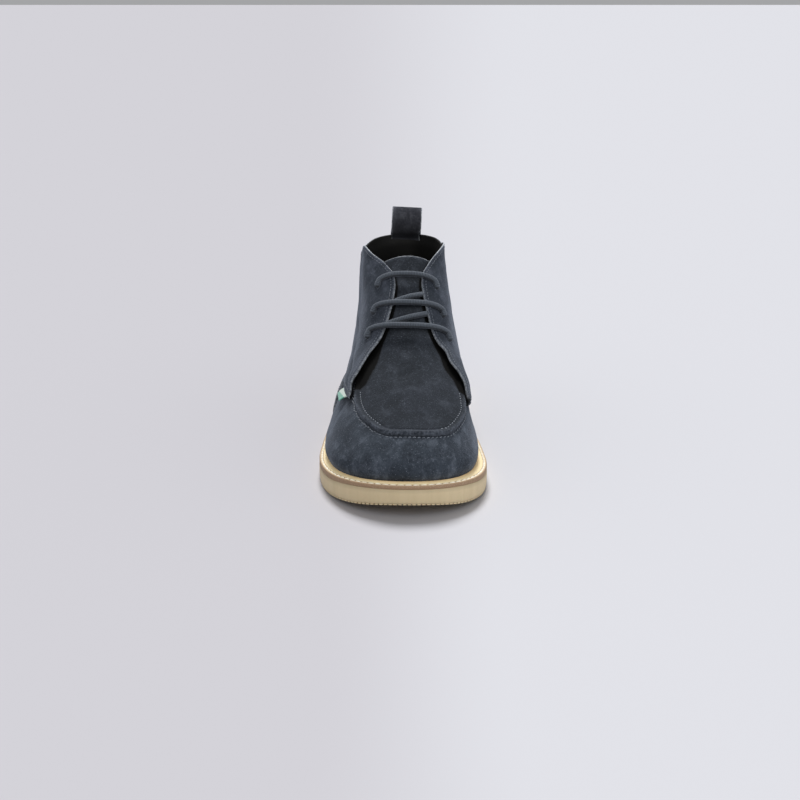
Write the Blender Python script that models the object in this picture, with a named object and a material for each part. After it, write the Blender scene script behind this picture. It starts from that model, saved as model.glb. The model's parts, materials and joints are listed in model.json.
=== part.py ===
"""Lace-up suede ankle boot with open (derby) facings and a moccasin plug, on a welted rubber sole.

It is a right shoe. Frame: the origin is on the floor, under the middle of the sole's outline. The toe points to
-Y, the heel to +Y, +X is the medial (big toe) side and +Z is up. All tables are in millimetres; MM brings them
to metres.

A place on the shoe is given on the last, which is the shape of the foot inside it:
  around  0 at the front centre line, then along the ring to 1 (medial side) or -1 (lateral side) at the heel
  ring    0 at the feather edge, where the upper meets the sole, up to 11 at the collar
  lift    distance out of the last, along its normal
"""

from collections import namedtuple

import bmesh
import bpy
import numpy as np

MM = 0.001

# ---- driving dimensions
SOLE_LENGTH = 300.0
SOLE_WIDTH = 112.0
COLLAR_HEIGHT = 130.0  # floor to the topline at the side of the ankle

VAMP_WALL = 2.0
QUARTER_WALL = 3.0  # with its lining
FLAP_WALL = 2.4  # the quarter's front edge, where it is skived
TONGUE_WALL = 1.6
GAP = 0.3  # between pieces that lie on each other
INSOLE_GAP = 0.8  # round the insole, inside the upper
FLAP_GAP = 0.55  # over the tongue, under the quarters' facings
WELT_THICK = 2.8
INSOLE_THICK = 2.5
LACE_RADIUS = 1.75
STRAP_WALL = 1.6
STRAP_WIDTH = 23.0
HEEL_RADIUS = 28.0  # of the collar at the back of the heel, seen from above

# ---- the last, as tilted rings from the feather edge to above the collar
Ring = namedtuple(
    "Ring",
    "name toe_y heel_y wide_lat_y wide_med_y half_lat half_med toe_power heel_power"
    " toe_shift heel_shift waist_lat waist_med toe_z heel_z mid_lift follow",
)
RINGS = (
    Ring("feather", -140.5, 142.5, -68, -78, 49.6, 46.3, 2.35, 2.50, 3, 3, 0.10, 0.24, 20.0, 27, 0.0, 1.0),
    Ring("wall", -142.4, 144.0, -70, -77, 51.3, 48.0, 2.38, 2.45, 3, 3, 0.09, 0.20, 27.0, 36, 0.0, 1.0),
    Ring("shoulder", -141.2, 145.0, -64, -75, 48.5, 46.4, 2.32, 2.40, 3, 3, 0.08, 0.18, 33.5, 46, 0.0, 0.9),
    Ring("crown", -135.0, 145.0, -56, -71, 44.2, 43.8, 2.28, 2.35, 3, 3, 0.07, 0.16, 39.5, 56, 0.0, 0.7),
    Ring("plug", -123.0, 144.2, -44, -60, 39.6, 42.2, 2.22, 2.30, 3, 3, 0.05, 0.13, 45.0, 65, 0.0, 0.4),
    Ring("vamp", -104.0, 143.0, -20, -34, 36.8, 40.8, 2.08, 2.25, 3, 3, 0.02, 0.08, 50.5, 73, 0.0, 0.2),
    Ring("throat", -80.0, 141.6, 5, -8, 34.4, 38.8, 2.00, 2.20, 3, 3, 0.00, 0.04, 57.5, 80, 0.0, 0.0),
    Ring("low instep", -53.0, 140.2, 35, 25, 32.8, 36.2, 2.00, 2.15, 3, 3, 0.00, 0.02, 66.0, 87, 0.0, 0.0),
    Ring("instep", -29.0, 139.0, 58, 50, 31.8, 33.8, 2.00, 2.15, 3, 3, 0.00, 0.00, 78.0, 94, 0.0, 0.0),
    Ring("high instep", -8.0, 138.2, 68, 62, 31.0, 31.8, 2.00, 2.15, 3, 3, 0.00, 0.00, 92.0, 102, 0.5, 0.0),
    Ring("ankle", 10.0, 137.6, 72, 68, 30.2, 29.8, 2.00, 2.15, 3, 3, 0.00, 0.00, 103.5, 111, 3.0, 0.0),
    Ring("collar", 25.0, 137.5, 74, 72, 29.4, 28.0, 2.00, 2.15, 3, 3, 0.00, 0.00, 114.0, 121, 7.0, 0.0),
    Ring("above", 38.0, 137.5, 76, 76, 29.0, 27.4, 2.00, 2.15, 3, 3, 0.00, 0.00, 125.0, 131, 9.0, 0.0),
)
DRAWN = {"y": 300.0, "x": 112.0, "z": 130.0}  # the size that the tables are drawn at
WAIST_Y = 25.0
WAIST_SPAN = 52.0
SHIFT_POWER = 1.6
RING_STEP = 0.05
HALF_STEPS = 160

# ---- profiles along the sole
Station = namedtuple("Station", "y z")
SOLE_TOP = (
    Station(-150, 20.6),
    Station(-120, 16.6),
    Station(-90, 14.4),
    Station(-60, 14.0),
    Station(-20, 15.6),
    Station(30, 20.2),
    Station(75, 24.4),
    Station(110, 26.2),
    Station(150, 27.2),
)
SOLE_BOTTOM = (
    Station(-150, 8.2),
    Station(-141, 5.2),
    Station(-126, 2.2),
    Station(-108, 0.4),
    Station(-92, 0.0),
    Station(-22, 0.0),
    Station(-6, 0.8),
    Station(16, 3.6),
    Station(38, 6.4),
    Station(57, 7.6),
)
HEEL_BREAST_Y = 58.0
BREAST_SLOPE = 1.5  # the length over which the heel block drops to the floor
HEEL_BEVEL_Y = 138.0
HEEL_BEVEL = 1.0
Margin = namedtuple("Margin", "around reach")
SOLE_MARGIN = (
    Margin(-1.0, 7.5),
    Margin(-0.75, 7.2),
    Margin(-0.45, 7.0),
    Margin(-0.2, 8.4),
    Margin(0.0, 9.5),
    Margin(0.2, 9.8),
    Margin(0.45, 7.2),
    Margin(0.75, 7.0),
    Margin(1.0, 7.5),
)

# ---- seams and edges of the upper
Front = namedtuple("Front", "ring lateral medial")
QUARTER_FRONT = (
    Front(0.0, -0.468, 0.455),
    Front(1.4, -0.460, 0.448),
    Front(2.6, -0.440, 0.428),
    Front(3.4, -0.410, 0.398),
    Front(3.85, -0.375, 0.360),
    Front(4.06, -0.325, 0.300),
    Front(4.14, -0.275, 0.250),
    Front(4.24, -0.234, 0.212),
    Front(4.45, -0.220, 0.198),
    Front(4.9, -0.221, 0.201),
    Front(5.7, -0.214, 0.205),
    Front(6.4, -0.192, 0.182),
    Front(7.0, -0.160, 0.150),
    Front(7.6, -0.122, 0.116),
    Front(8.2, -0.086, 0.090),
    Front(8.9, -0.066, 0.076),
    Front(9.7, -0.056, 0.067),
    Front(10.4, -0.056, 0.066),
    Front(10.9, -0.070, 0.078),
)
# share: of the way from the medial front edge, round the heel, to the lateral front edge
QUARTER_ROWS = (0, 0.6, 1.3, 2, 2.8, 3.5, 3.9, 4.08, 4.2, 4.42, 4.8, 5.5, 6.3, 7, 7.7, 8.5, 9.3, 10.1, 10.6, 10.9)
EVEN_BY = 0.16  # share of the way round by which the rows are even
Top = namedtuple("Top", "share ring")
TOPLINE = (
    Top(0.0, 10.90),
    Top(0.027, 11.40),
    Top(0.06, 11.70),
    Top(0.12, 11.76),
    Top(0.173, 11.56),
    Top(0.227, 11.28),
    Top(0.308, 11.14),
    Top(0.389, 11.20),
    Top(0.5, 11.38),
    Top(0.611, 11.20),
    Top(0.692, 11.10),
    Top(0.773, 11.14),
    Top(0.827, 11.20),
    Top(0.88, 11.36),
    Top(0.94, 11.48),
    Top(0.973, 11.30),
    Top(1.0, 10.90),
)
VampTop = namedtuple("VampTop", "around ring")
VAMP_TOP = (
    VampTop(-0.53, 3.2),
    VampTop(-0.47, 4.3),
    VampTop(-0.36, 5.2),
    VampTop(-0.22, 5.6),
    VampTop(0.0, 5.6),
    VampTop(0.22, 5.6),
    VampTop(0.36, 5.2),
    VampTop(0.46, 4.3),
    VampTop(0.52, 3.2),
)
Plug = namedtuple("Plug", "name lateral ring_lateral medial ring_medial")
PLUG_SIDES = (
    Plug("front corner", -0.100, 3.94, 0.092, 3.48),
    Plug("toe side", -0.152, 4.20, 0.133, 3.76),
    Plug("ball", -0.194, 4.60, 0.182, 4.14),
    Plug("under the quarter", -0.218, 5.20, 0.214, 4.90),
    Plug("throat", -0.212, 6.00, 0.210, 6.00),
    Plug("low instep", -0.165, 7.00, 0.170, 7.00),
    Plug("instep", -0.142, 8.00, 0.144, 8.00),
    Plug("high instep", -0.152, 9.30, 0.154, 9.30),
    Plug("ankle", -0.170, 10.60, 0.172, 10.60),
    Plug("tongue corner", -0.156, 11.15, 0.160, 11.15),
)
PlugFront = namedtuple("PlugFront", "around ring")
PLUG_FRONT = (
    PlugFront(-0.100, 3.94),
    PlugFront(-0.050, 3.66),
    PlugFront(0.000, 3.54),
    PlugFront(0.050, 3.46),
    PlugFront(0.092, 3.48),
)
TONGUE_CROWN = 0.85  # rings that the tongue's rounded top stands above its corners

# ---- lace, loop and label
# arch: rings that the bar's middle rises above its ends
Eyelet = namedtuple("Eyelet", "name lateral ring_lateral medial ring_medial arch")
EYELETS = (
    Eyelet("lower", -0.174, 7.60, 0.186, 7.42, 0.90),
    Eyelet("middle", -0.142, 8.76, 0.158, 8.60, 0.62),
    Eyelet("upper", -0.134, 10.02, 0.136, 9.92, 0.80),
)
Diagonal = namedtuple("Diagonal", "bar around ring end_around end_ring")
DIAGONALS = (
    Diagonal("lower", -0.060, 8.36, 0.066, 8.84),
    Diagonal("middle", -0.040, 9.28, 0.052, 9.70),
)
LoopPoint = namedtuple("LoopPoint", "lift rise")
LOOP_PATH = (
    LoopPoint(-1.4, -15.0),
    LoopPoint(-1.4, -8.0),
    LoopPoint(-1.4, -1.0),
    LoopPoint(-2.2, 6.0),
    LoopPoint(-2.4, 13.0),
    LoopPoint(-0.8, 19.5),
    LoopPoint(2.0, 21.3),
    LoopPoint(5.0, 19.5),
    LoopPoint(6.6, 13.0),
    LoopPoint(6.2, 6.0),
    LoopPoint(4.45, -1.0),
    LoopPoint(4.45, -10.0),
    LoopPoint(4.45, -20.0),
)
LABEL_AROUND = (-0.334, -0.284)
LABEL_REACH = 5.0  # it stands out from the side by this much
LABEL_DROP = 0.50  # rings that its free edge hangs below the seam
LABEL_RINGS = 0.105  # its thickness, in rings

Finish = namedtuple("Finish", "colour roughness")
SUEDE = Finish((0.035, 0.042, 0.060), 0.95)
TONGUE_SUEDE = Finish((0.030, 0.035, 0.044), 0.95)
LACE_CORD = Finish((0.022, 0.025, 0.032), 0.85)
WELT_LEATHER = Finish((0.42, 0.30, 0.18), 0.6)
RUBBER = Finish((0.45, 0.36, 0.24), 0.7)
INSOLE_BOARD = Finish((0.02, 0.02, 0.02), 0.9)
LABEL_TAPE = Finish((0.12, 0.35, 0.27), 0.8)


def curve(knots, values, at):
    """A smooth curve through the values at the knots: cubic pieces, each slope a mean of its neighbours'."""
    knots, values, at = (np.asarray(item, float) for item in (knots, values, at))
    wide = (-1,) + (1,) * (values.ndim - 1)
    steps = np.diff(knots).reshape(wide)
    slopes = np.diff(values, axis=0) / steps
    mean = np.empty_like(values)
    mean[1:-1] = (slopes[:-1] * steps[1:] + slopes[1:] * steps[:-1]) / (steps[:-1] + steps[1:])
    mean[0], mean[-1] = slopes[0], slopes[-1]
    i = np.clip(np.searchsorted(knots, at, side="right") - 1, 0, len(knots) - 2)
    step = np.diff(knots)[i]
    s = ((at - knots[i]) / step).reshape(at.shape + (1,) * (values.ndim - 1))
    step = step.reshape(s.shape)
    rise = s * s * (3 - 2 * s)
    ends = (s**3 - 2 * s**2 + s) * step * mean[i] + (s**3 - s**2) * step * mean[i + 1]
    return (1 - rise) * values[i] + rise * values[i + 1] + ends


def smooth(value):
    """0 below 0, 1 above 1 and a soft step between."""
    value = np.clip(value, 0, 1)
    return value * value * (3 - 2 * value)


def sized(axis, value):
    """A drawn length brought to the size of this shoe along one axis."""
    driving = {"x": SOLE_WIDTH, "y": SOLE_LENGTH, "z": COLLAR_HEIGHT}
    return value * driving[axis] / DRAWN[axis]


def profile(stations, y):
    """Height of a sole profile at y."""
    knots, heights = np.array(stations).T
    return sized("z", curve(knots, heights, np.clip(y / sized("y", 1.0), knots[0], knots[-1])))


def sole_top(y):
    return profile(SOLE_TOP, y)


def sole_bottom(y):
    """The tread's height: toe spring, forefoot on the floor, arch, and the heel block behind its breast."""
    y = np.asarray(y, float)
    heel = HEEL_BEVEL * smooth((y - HEEL_BEVEL_Y) / (DRAWN["y"] / 2 - HEEL_BEVEL_Y))
    return np.where(y > HEEL_BREAST_Y, heel, np.maximum(profile(SOLE_BOTTOM, y), 0))


def ring_side(ring, sign):
    """One side of a ring, from the toe to the heel, evenly spaced."""
    wide_y = ring.wide_lat_y if sign < 0 else ring.wide_med_y
    half = ring.half_lat if sign < 0 else ring.half_med
    waist = ring.waist_lat if sign < 0 else ring.waist_med
    turn = np.linspace(0, np.pi / 2, 400)
    front = 2 / ring.toe_power
    back = 2 / ring.heel_power
    y = np.concatenate(
        [
            wide_y - (wide_y - ring.toe_y) * np.cos(turn) ** front,
            wide_y + (ring.heel_y - wide_y) * np.sin(turn[1:]) ** back,
        ]
    )
    x = half * np.concatenate([np.sin(turn) ** front, np.cos(turn[1:]) ** back])
    x = x * (1 - waist * np.exp(-(((y - WAIST_Y) / WAIST_SPAN) ** 2)))
    middle = (ring.wide_lat_y + ring.wide_med_y) / 2
    to_toe = np.clip((middle - y) / (middle - ring.toe_y), 0, 1) ** SHIFT_POWER
    to_heel = np.clip((y - middle) / (ring.heel_y - middle), 0, 1) ** SHIFT_POWER
    x = sign * x + ring.toe_shift * to_toe + ring.heel_shift * to_heel
    back_share = (y - ring.toe_y) / (ring.heel_y - ring.toe_y)
    z = ring.toe_z + (ring.heel_z - ring.toe_z) * back_share
    z = z + ring.mid_lift * 4 * back_share * (1 - back_share)
    knots, heights = np.array(SOLE_TOP).T
    toe_top, heel_top = curve(knots, heights, np.array([ring.toe_y, ring.heel_y]))
    z = z + ring.follow * (curve(knots, heights, y) - toe_top * (1 - back_share) - heel_top * back_share)
    points = np.stack([sized("x", x), sized("y", y), sized("z", z)], 1)
    along = np.concatenate([[0], np.cumsum(np.linalg.norm(np.diff(points, axis=0), axis=1))])
    even = np.linspace(0, along[-1], HALF_STEPS + 1)
    return np.stack([np.interp(even, along, points[:, k]) for k in range(3)], 1)


def make_last():
    """(points, normals) of the last, by ring level and place around."""
    table = np.array([ring[1:] for ring in RINGS], float)
    levels = np.arange(0, len(RINGS) - 1 + RING_STEP / 2, RING_STEP)
    rows = [Ring("", *row) for row in curve(np.arange(len(RINGS)), table, levels)]
    points = np.stack([np.concatenate([ring_side(row, -1)[::-1], ring_side(row, 1)[1:]]) for row in rows])
    normals = np.cross(np.gradient(points, axis=1), np.gradient(points, axis=0))
    heel = normals[:, 0] + normals[:, -1]
    normals[:, 0] = normals[:, -1] = heel
    return points, normals / np.linalg.norm(normals, axis=2, keepdims=True)


LAST_POINTS, LAST_NORMALS = make_last()


def wrapped(around):
    """Places past the heel, brought back to -1..1."""
    return (np.asarray(around, float) + 1) % 2 - 1


def read_last(field, around, ring):
    """Values between the last's grid points."""
    column = (np.asarray(around, float) + 1) * HALF_STEPS
    row = np.asarray(ring, float) / RING_STEP
    j = np.clip(column.astype(int), 0, field.shape[1] - 2)
    i = np.clip(row.astype(int), 0, field.shape[0] - 2)
    a, b = (column - j)[..., None], (row - i)[..., None]
    low = field[i, j] * (1 - a) + field[i, j + 1] * a
    high = field[i + 1, j] * (1 - a) + field[i + 1, j + 1] * a
    return low * (1 - b) + high * b


def skin(around, ring, lift=0.0):
    """Points this far out of the last."""
    around, ring, lift = np.broadcast_arrays(wrapped(around), ring, lift)
    normal = read_last(LAST_NORMALS, around, ring)
    normal = normal / np.linalg.norm(normal, axis=-1, keepdims=True)
    return read_last(LAST_POINTS, around, ring) + normal * lift[..., None]


def seated(points, lifts):
    """The lowest row of a shell set flat on the welt: moved out level, at the height of the sole under it."""
    around = points[..., 0] * 0 + lifts[..., 0]
    flat = read_last(LAST_NORMALS, around, 0 * around) * (1, 1, 0)
    flat = flat / np.linalg.norm(flat, axis=-1, keepdims=True)
    base = read_last(LAST_POINTS, around, 0 * around) + flat * lifts[..., 1:]
    base[..., 2] = sole_top(base[..., 1]) + GAP
    return base


def quarter_front(ring):
    """(lateral, medial) places of the quarters' front edges at a ring."""
    knots, lateral, medial = np.array(QUARTER_FRONT).T
    both = curve(knots, np.stack([lateral, medial], 1), ring)
    return both[..., 0], both[..., 1]


def plug_edge(ring):
    """(lateral, medial) places of the plug's and the tongue's side edges at a ring."""
    table = np.array([row[1:] for row in PLUG_SIDES], float)
    return np.interp(ring, table[:, 1], table[:, 0]), np.interp(ring, table[:, 3], table[:, 2])


def vamp_top(around):
    knots, rings = np.array(VAMP_TOP).T
    return curve(knots, rings, around)


def quarter_lift(around, ring):
    """How far the quarter's inner face stands off the last: over the foot, the vamp's wings or the tongue."""
    wing_end = np.where(around < 0, -VAMP_TOP[0].around, VAMP_TOP[-1].around)
    on_vamp = smooth((wing_end - 0.01 - abs(around)) / 0.09) * smooth((vamp_top(around) - ring) / 1.3)
    lateral, medial = plug_edge(ring)
    edge = np.where(around < 0, -lateral, medial)
    upper_part = smooth((ring - 5.0) / 3.0)
    clear, fade = 0.012 + 0.023 * upper_part, 0.05 + 0.09 * upper_part
    over_tongue = smooth((edge + clear + fade - abs(around)) / fade) * smooth((ring - 4.0) / 0.4)
    under_flap = VAMP_WALL + GAP + TONGUE_WALL + FLAP_GAP
    return np.maximum((VAMP_WALL - GAP) * on_vamp, under_flap * over_tongue) + 0.06 * (1 - on_vamp)


def mesh_object(name, verts, faces, finish):
    """An object in metres with its own plain material."""
    mesh = bpy.data.meshes.new(name)
    mesh.from_pydata([tuple(vert) for vert in np.asarray(verts) * MM], [], faces)
    solid = bmesh.new()
    solid.from_mesh(mesh)
    bmesh.ops.remove_doubles(solid, verts=solid.verts, dist=0.00001)
    bmesh.ops.dissolve_degenerate(solid, edges=solid.edges, dist=0.00001)
    bmesh.ops.triangulate(solid, faces=solid.faces)
    bmesh.ops.recalc_face_normals(solid, faces=solid.faces)
    solid.to_mesh(mesh)
    solid.free()
    obj = bpy.data.objects.new(name, mesh)
    bpy.context.scene.collection.objects.link(obj)
    material = bpy.data.materials.new(name)
    material.use_nodes = True
    shader = material.node_tree.nodes["Principled BSDF"]
    shader.inputs["Base Color"].default_value = (*finish.colour, 1)
    shader.inputs["Roughness"].default_value = finish.roughness
    shader.inputs["Metallic"].default_value = 0.0
    mesh.materials.append(material)
    mesh.shade_smooth()
    mesh.set_sharp_from_angle(angle=np.radians(40))
    return obj


def shell(name, outer, inner, finish):
    """A closed wall between two sheets of the same grid."""
    rows, columns = outer.shape[:2]
    verts = np.concatenate([outer.reshape(-1, 3), inner.reshape(-1, 3)])
    place = np.arange(rows * columns).reshape(rows, columns)
    back = place + rows * columns
    faces = []
    for i in range(rows - 1):
        for j in range(columns - 1):
            faces.append((place[i, j], place[i, j + 1], place[i + 1, j + 1], place[i + 1, j]))
            faces.append((back[i, j], back[i + 1, j], back[i + 1, j + 1], back[i, j + 1]))
    border = [(0, j) for j in range(columns)] + [(i, columns - 1) for i in range(1, rows)]
    border += [(rows - 1, j) for j in range(columns - 2, -1, -1)] + [(i, 0) for i in range(rows - 2, 0, -1)]
    for here, there in zip(border, border[1:] + border[:1]):
        faces.append((place[here], back[here], back[there], place[there]))
    return mesh_object(name, verts, [tuple(int(k) for k in face) for face in faces], finish)


def join(target, other):
    """A Boolean union, applied, so that both are one body."""
    cut = target.modifiers.new("join", "BOOLEAN")
    cut.operation = "UNION"
    cut.solver = "EXACT"
    cut.object = other
    graph = bpy.context.evaluated_depsgraph_get()
    joined = bpy.data.meshes.new_from_object(target.evaluated_get(graph))
    target.modifiers.remove(cut)
    target.data = joined
    bpy.data.objects.remove(other)


def coons(left, right, low, high, columns, rows):
    """A grid of (around, ring) places between four edge curves that meet at their corners."""
    u = columns[None, :, None]
    v = rows[:, None, None]
    low, high = low[None], high[None]
    left, right = left[:, None], right[:, None]
    low_corners = (1 - u) * low[:, :1] + u * low[:, -1:]
    high_corners = (1 - u) * high[:, :1] + u * high[:, -1:]
    corners = (1 - v) * low_corners + v * high_corners
    return (1 - v) * low + v * high + (1 - u) * left + u * right - corners


def vamp_sheet(columns, rows, lift):
    """The vamp: the toe's wall and the wings that run back under the quarters."""
    around = np.interp(columns, [0, 1], [VAMP_TOP[0].around, VAMP_TOP[-1].around])[None, :] + 0 * rows[:, None]
    ring = rows[:, None] * vamp_top(around)
    points = skin(around, ring, lift)
    lifts = np.stack([around[0], np.full_like(around[0], lift)], -1)
    points[0] = seated(points[0], lifts)
    return points


def quarter_places(columns, rows):
    """(around, ring) of the quarters' grid, from the medial front edge round the heel to the lateral one.

    The rows stand where the front edge turns, and spread out evenly behind it.
    """
    knots, tops = np.array(TOPLINE).T
    top = curve(knots, tops, columns)
    even = np.linspace(0, 1, len(rows))
    spread = smooth(np.minimum(columns, 1 - columns) / EVEN_BY)
    share = rows[:, None] * (1 - spread) + even[:, None] * spread
    ring = share * top[None, :]
    lateral, medial = quarter_front(rows * TOPLINE[0].ring)
    around = medial[:, None] + columns[None, :] * (2 + lateral - medial)[:, None]
    return wrapped(around), ring


def quarter_sheet(columns, rows, outside):
    around, ring = quarter_places(columns, rows)
    lift = quarter_lift(around, ring)
    lateral, medial = quarter_front(np.clip(ring, 0, TOPLINE[0].ring))
    behind = np.where(around < 0, lateral - around, around - medial)
    wall = FLAP_WALL + (QUARTER_WALL - FLAP_WALL) * smooth(behind / 0.2)
    lift = lift + wall * outside
    points = skin(around, ring, lift)
    points[0] = seated(points[0], np.stack([around[0], lift[0]], -1))
    return points


def make_upper():
    columns = np.linspace(0, 1, 41)
    rows = np.linspace(0, 1, 11)
    vamp = shell("upper", vamp_sheet(columns, rows, VAMP_WALL), vamp_sheet(columns, rows, 0.0), SUEDE)
    even = np.linspace(0, 1, 51)
    columns = even + 0.06 * np.sin(2 * np.pi * even) * -1
    rows = np.array(QUARTER_ROWS) / TOPLINE[0].ring
    quarters = shell("quarters", quarter_sheet(columns, rows, 1), quarter_sheet(columns, rows, 0), SUEDE)
    join(vamp, quarters)
    return vamp


def tongue_sheet(columns, rows, lift):
    """The plug on the toe and the tongue behind it, cut in one piece."""
    table = np.array([row[1:] for row in PLUG_SIDES], float)
    steps = np.linalg.norm(np.diff(table[:, :2] * (250, 14), axis=0), axis=1)
    knots = np.concatenate([[0], np.cumsum(steps)]) / steps.sum()
    sides = curve(knots, table, rows)
    front = np.array(PLUG_FRONT, float)
    low = curve(np.linspace(0, 1, len(front)), front, columns)
    crown = TONGUE_CROWN * 4 * columns * (1 - columns)
    high = np.stack([np.interp(columns, [0, 1], table[-1, [0, 2]]), table[-1, 1] + crown], 1)
    places = coons(sides[:, :2], sides[:, 2:], low, high, columns, rows)
    return skin(places[..., 0], places[..., 1], lift)


def make_tongue():
    columns = np.linspace(0, 1, 14)
    rows = np.linspace(0, 1, 25)
    low = VAMP_WALL + GAP
    top = low + TONGUE_WALL
    return shell("plug_tongue", tongue_sheet(columns, rows, top), tongue_sheet(columns, rows, low), TONGUE_SUEDE)


def rim(around, reach):
    """Outline of a sole layer: the feather edge moved out level by reach."""
    point = read_last(LAST_POINTS, around, 0 * around)
    flat = read_last(LAST_NORMALS, around, 0 * around) * (1, 1, 0)
    return point + flat / np.linalg.norm(flat, axis=-1, keepdims=True) * np.asarray(reach)[..., None]


def sole_margin(around):
    knots, reach = np.array(SOLE_MARGIN).T
    return curve(knots, reach, around)


def plate(name, outline, stations, low, high, finish, across=5):
    """A sole layer: straight lines across at each station, between a low and a high profile."""
    half = np.linspace(0, 1, 400)
    medial, lateral = outline(half), outline(-half)
    share = np.linspace(0, 1, across)
    start = max(medial[0, 1], lateral[0, 1])
    end = min(medial[-1, 1], lateral[-1, 1])
    y = np.interp(stations, [0, 1], [start, end])
    left = np.interp(y, lateral[:, 1], lateral[:, 0])
    right = np.interp(y, medial[:, 1], medial[:, 0])
    x = left[:, None] + (right - left)[:, None] * share[None, :]
    wide_y = y[:, None] + 0 * x
    top = np.stack([x, wide_y, high(wide_y)], -1)
    bottom = np.stack([x, wide_y, low(wide_y)], -1)
    return shell(name, top, bottom, finish)


def sole_stations(*breaks):
    """Shares of the length, close together at both ends, with extra ones at the breaks (in y)."""
    even = np.linspace(0, 1, 41)
    shares = (1 - np.cos(np.pi * even)) / 2
    extra = [(y + SOLE_LENGTH / 2) / SOLE_LENGTH for y in breaks]
    return np.array(sorted(set(shares.tolist() + extra)))


def sole_rim(around):
    return rim(around, sole_margin(around))


def insole_rim(around):
    return rim(around, 0 * around - INSOLE_GAP)


def welt_bottom(y):
    return sole_top(y) - WELT_THICK


def outsole_top(y):
    return welt_bottom(y) - GAP


def insole_bottom(y):
    return sole_top(y) + GAP


def insole_top(y):
    return insole_bottom(y) + INSOLE_THICK


def make_sole():
    breast = (HEEL_BREAST_Y - 0.01, HEEL_BREAST_Y + BREAST_SLOPE)
    plate("outsole", sole_rim, sole_stations(*breast), sole_bottom, outsole_top, RUBBER)
    plate("welt", sole_rim, sole_stations(), welt_bottom, sole_top, WELT_LEATHER)
    plate("insole", insole_rim, sole_stations(), insole_bottom, insole_top, INSOLE_BOARD)


def cord(name, points, finish):
    """A round cord through points, closed at both ends, as a plain mesh object."""
    line = bpy.data.curves.new(name, "CURVE")
    line.dimensions = "3D"
    line.bevel_depth = LACE_RADIUS * MM
    line.bevel_resolution = 2
    line.use_fill_caps = True
    spline = line.splines.new("POLY")
    spline.points.add(len(points) - 1)
    for place, point in zip(spline.points, points * MM):
        place.co = (*point, 1)
    guide = bpy.data.objects.new(name, line)
    bpy.context.scene.collection.objects.link(guide)
    graph = bpy.context.evaluated_depsgraph_get()
    mesh = bpy.data.meshes.new_from_object(guide.evaluated_get(graph))
    verts = np.array([vert.co for vert in mesh.vertices]) / MM
    faces = [tuple(face.vertices) for face in mesh.polygons]
    bpy.data.objects.remove(guide)
    return mesh_object(name, verts, faces, finish)


def make_laces():
    """Three bars over the facings, and the two runs between them that show in the throat."""
    share = np.linspace(0, 1, 15)
    arch = np.sin(np.pi * share) ** 0.6
    flap_top = VAMP_WALL + GAP + TONGUE_WALL + FLAP_GAP + FLAP_WALL
    bar_lift = flap_top + 2 * GAP + LACE_RADIUS
    run_lift = VAMP_WALL + TONGUE_WALL + 2 * GAP + LACE_RADIUS
    made = {}
    for eyelet in EYELETS:
        around = np.interp(share, [0, 1], [eyelet.lateral, eyelet.medial])
        ring = np.interp(share, [0, 1], [eyelet.ring_lateral, eyelet.ring_medial]) + eyelet.arch * arch
        made[eyelet.name] = cord("lace_" + eyelet.name, skin(around, ring, bar_lift), LACE_CORD)
    for run in DIAGONALS:
        short = np.linspace(0, 1, 7)
        around = np.interp(short, [0, 1], [run.around, run.end_around])
        ring = np.interp(short, [0, 1], [run.ring, run.end_ring])
        diagonal = cord("run", skin(around, ring, run_lift), LACE_CORD)
        join(made[run.bar], diagonal)
    return made


def make_pull_loop():
    """A folded strap, stitched inside and outside the collar at the back of the heel."""
    path = np.array(LOOP_PATH, float)
    along = np.concatenate([[0], np.cumsum(np.linalg.norm(np.diff(path, axis=0), axis=1))])
    fine = curve(along, path, np.linspace(0, along[-1], 27))
    step = np.gradient(fine, axis=0)
    normal = np.stack([-step[:, 1], step[:, 0]], 1)
    normal /= np.linalg.norm(normal, axis=1, keepdims=True)
    across = np.linspace(-STRAP_WIDTH / 2, STRAP_WIDTH / 2, 7)
    collar = TOPLINE[len(TOPLINE) // 2].ring
    heel_ring = LAST_POINTS[int(collar / RING_STEP)]
    side = np.linalg.norm(np.diff(heel_ring, axis=0), axis=1).sum() / 2
    sheets = []
    for face in (0.5, -0.5):
        lift, rise = (fine + normal * STRAP_WALL * face).T
        ring = collar + np.minimum(rise, 0)[:, None] / 10 + 0 * across[None, :]
        reach = side * (1 + lift[:, None] / HEEL_RADIUS)
        around = 1 - across[None, :] / reach
        points = skin(around, ring, lift[:, None])
        middle = points[:, len(across) // 2, 1][:, None]
        flatten = smooth(rise / 6)[:, None]
        points[..., 1] += (middle - points[..., 1]) * flatten
        points[..., 0] += (points[:, len(across) // 2, 0][:, None] + across[None, :] - points[..., 0]) * flatten
        points[..., 2] += np.maximum(rise, 0)[:, None]
        sheets.append(points)
    return shell("pull_loop", sheets[0], sheets[1], SUEDE)


def make_label():
    """A small plain tape, folded and caught under the lateral quarter's lower edge, standing out from the side."""
    rings = np.linspace(0, QUARTER_FRONT[8].ring, 200)
    edge, _ = quarter_front(rings)
    around = np.linspace(*LABEL_AROUND, 4)
    seam = np.interp(around, edge, rings)
    out = np.linspace(0, 1, 4)[:, None]
    lift = VAMP_WALL + GAP + LABEL_REACH * out
    top = seam[None, :] - 0.08 - LABEL_DROP * out
    around = around[None, :] + 0 * out
    return shell("side_label", skin(around, top, lift), skin(around, top - LABEL_RINGS, lift), LABEL_TAPE)


def centre_on_floor(objects):
    """Moves everything so that the origin is under the middle of the outsole's box."""
    outsole = next(obj for obj in objects if obj.name == "outsole")
    points = np.array([vert.co for vert in outsole.data.vertices])
    middle = (points.min(0) + points.max(0)) / 2
    for obj in objects:
        for vert in obj.data.vertices:
            vert.co.x -= middle[0]
            vert.co.y -= middle[1]
    return middle


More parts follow.
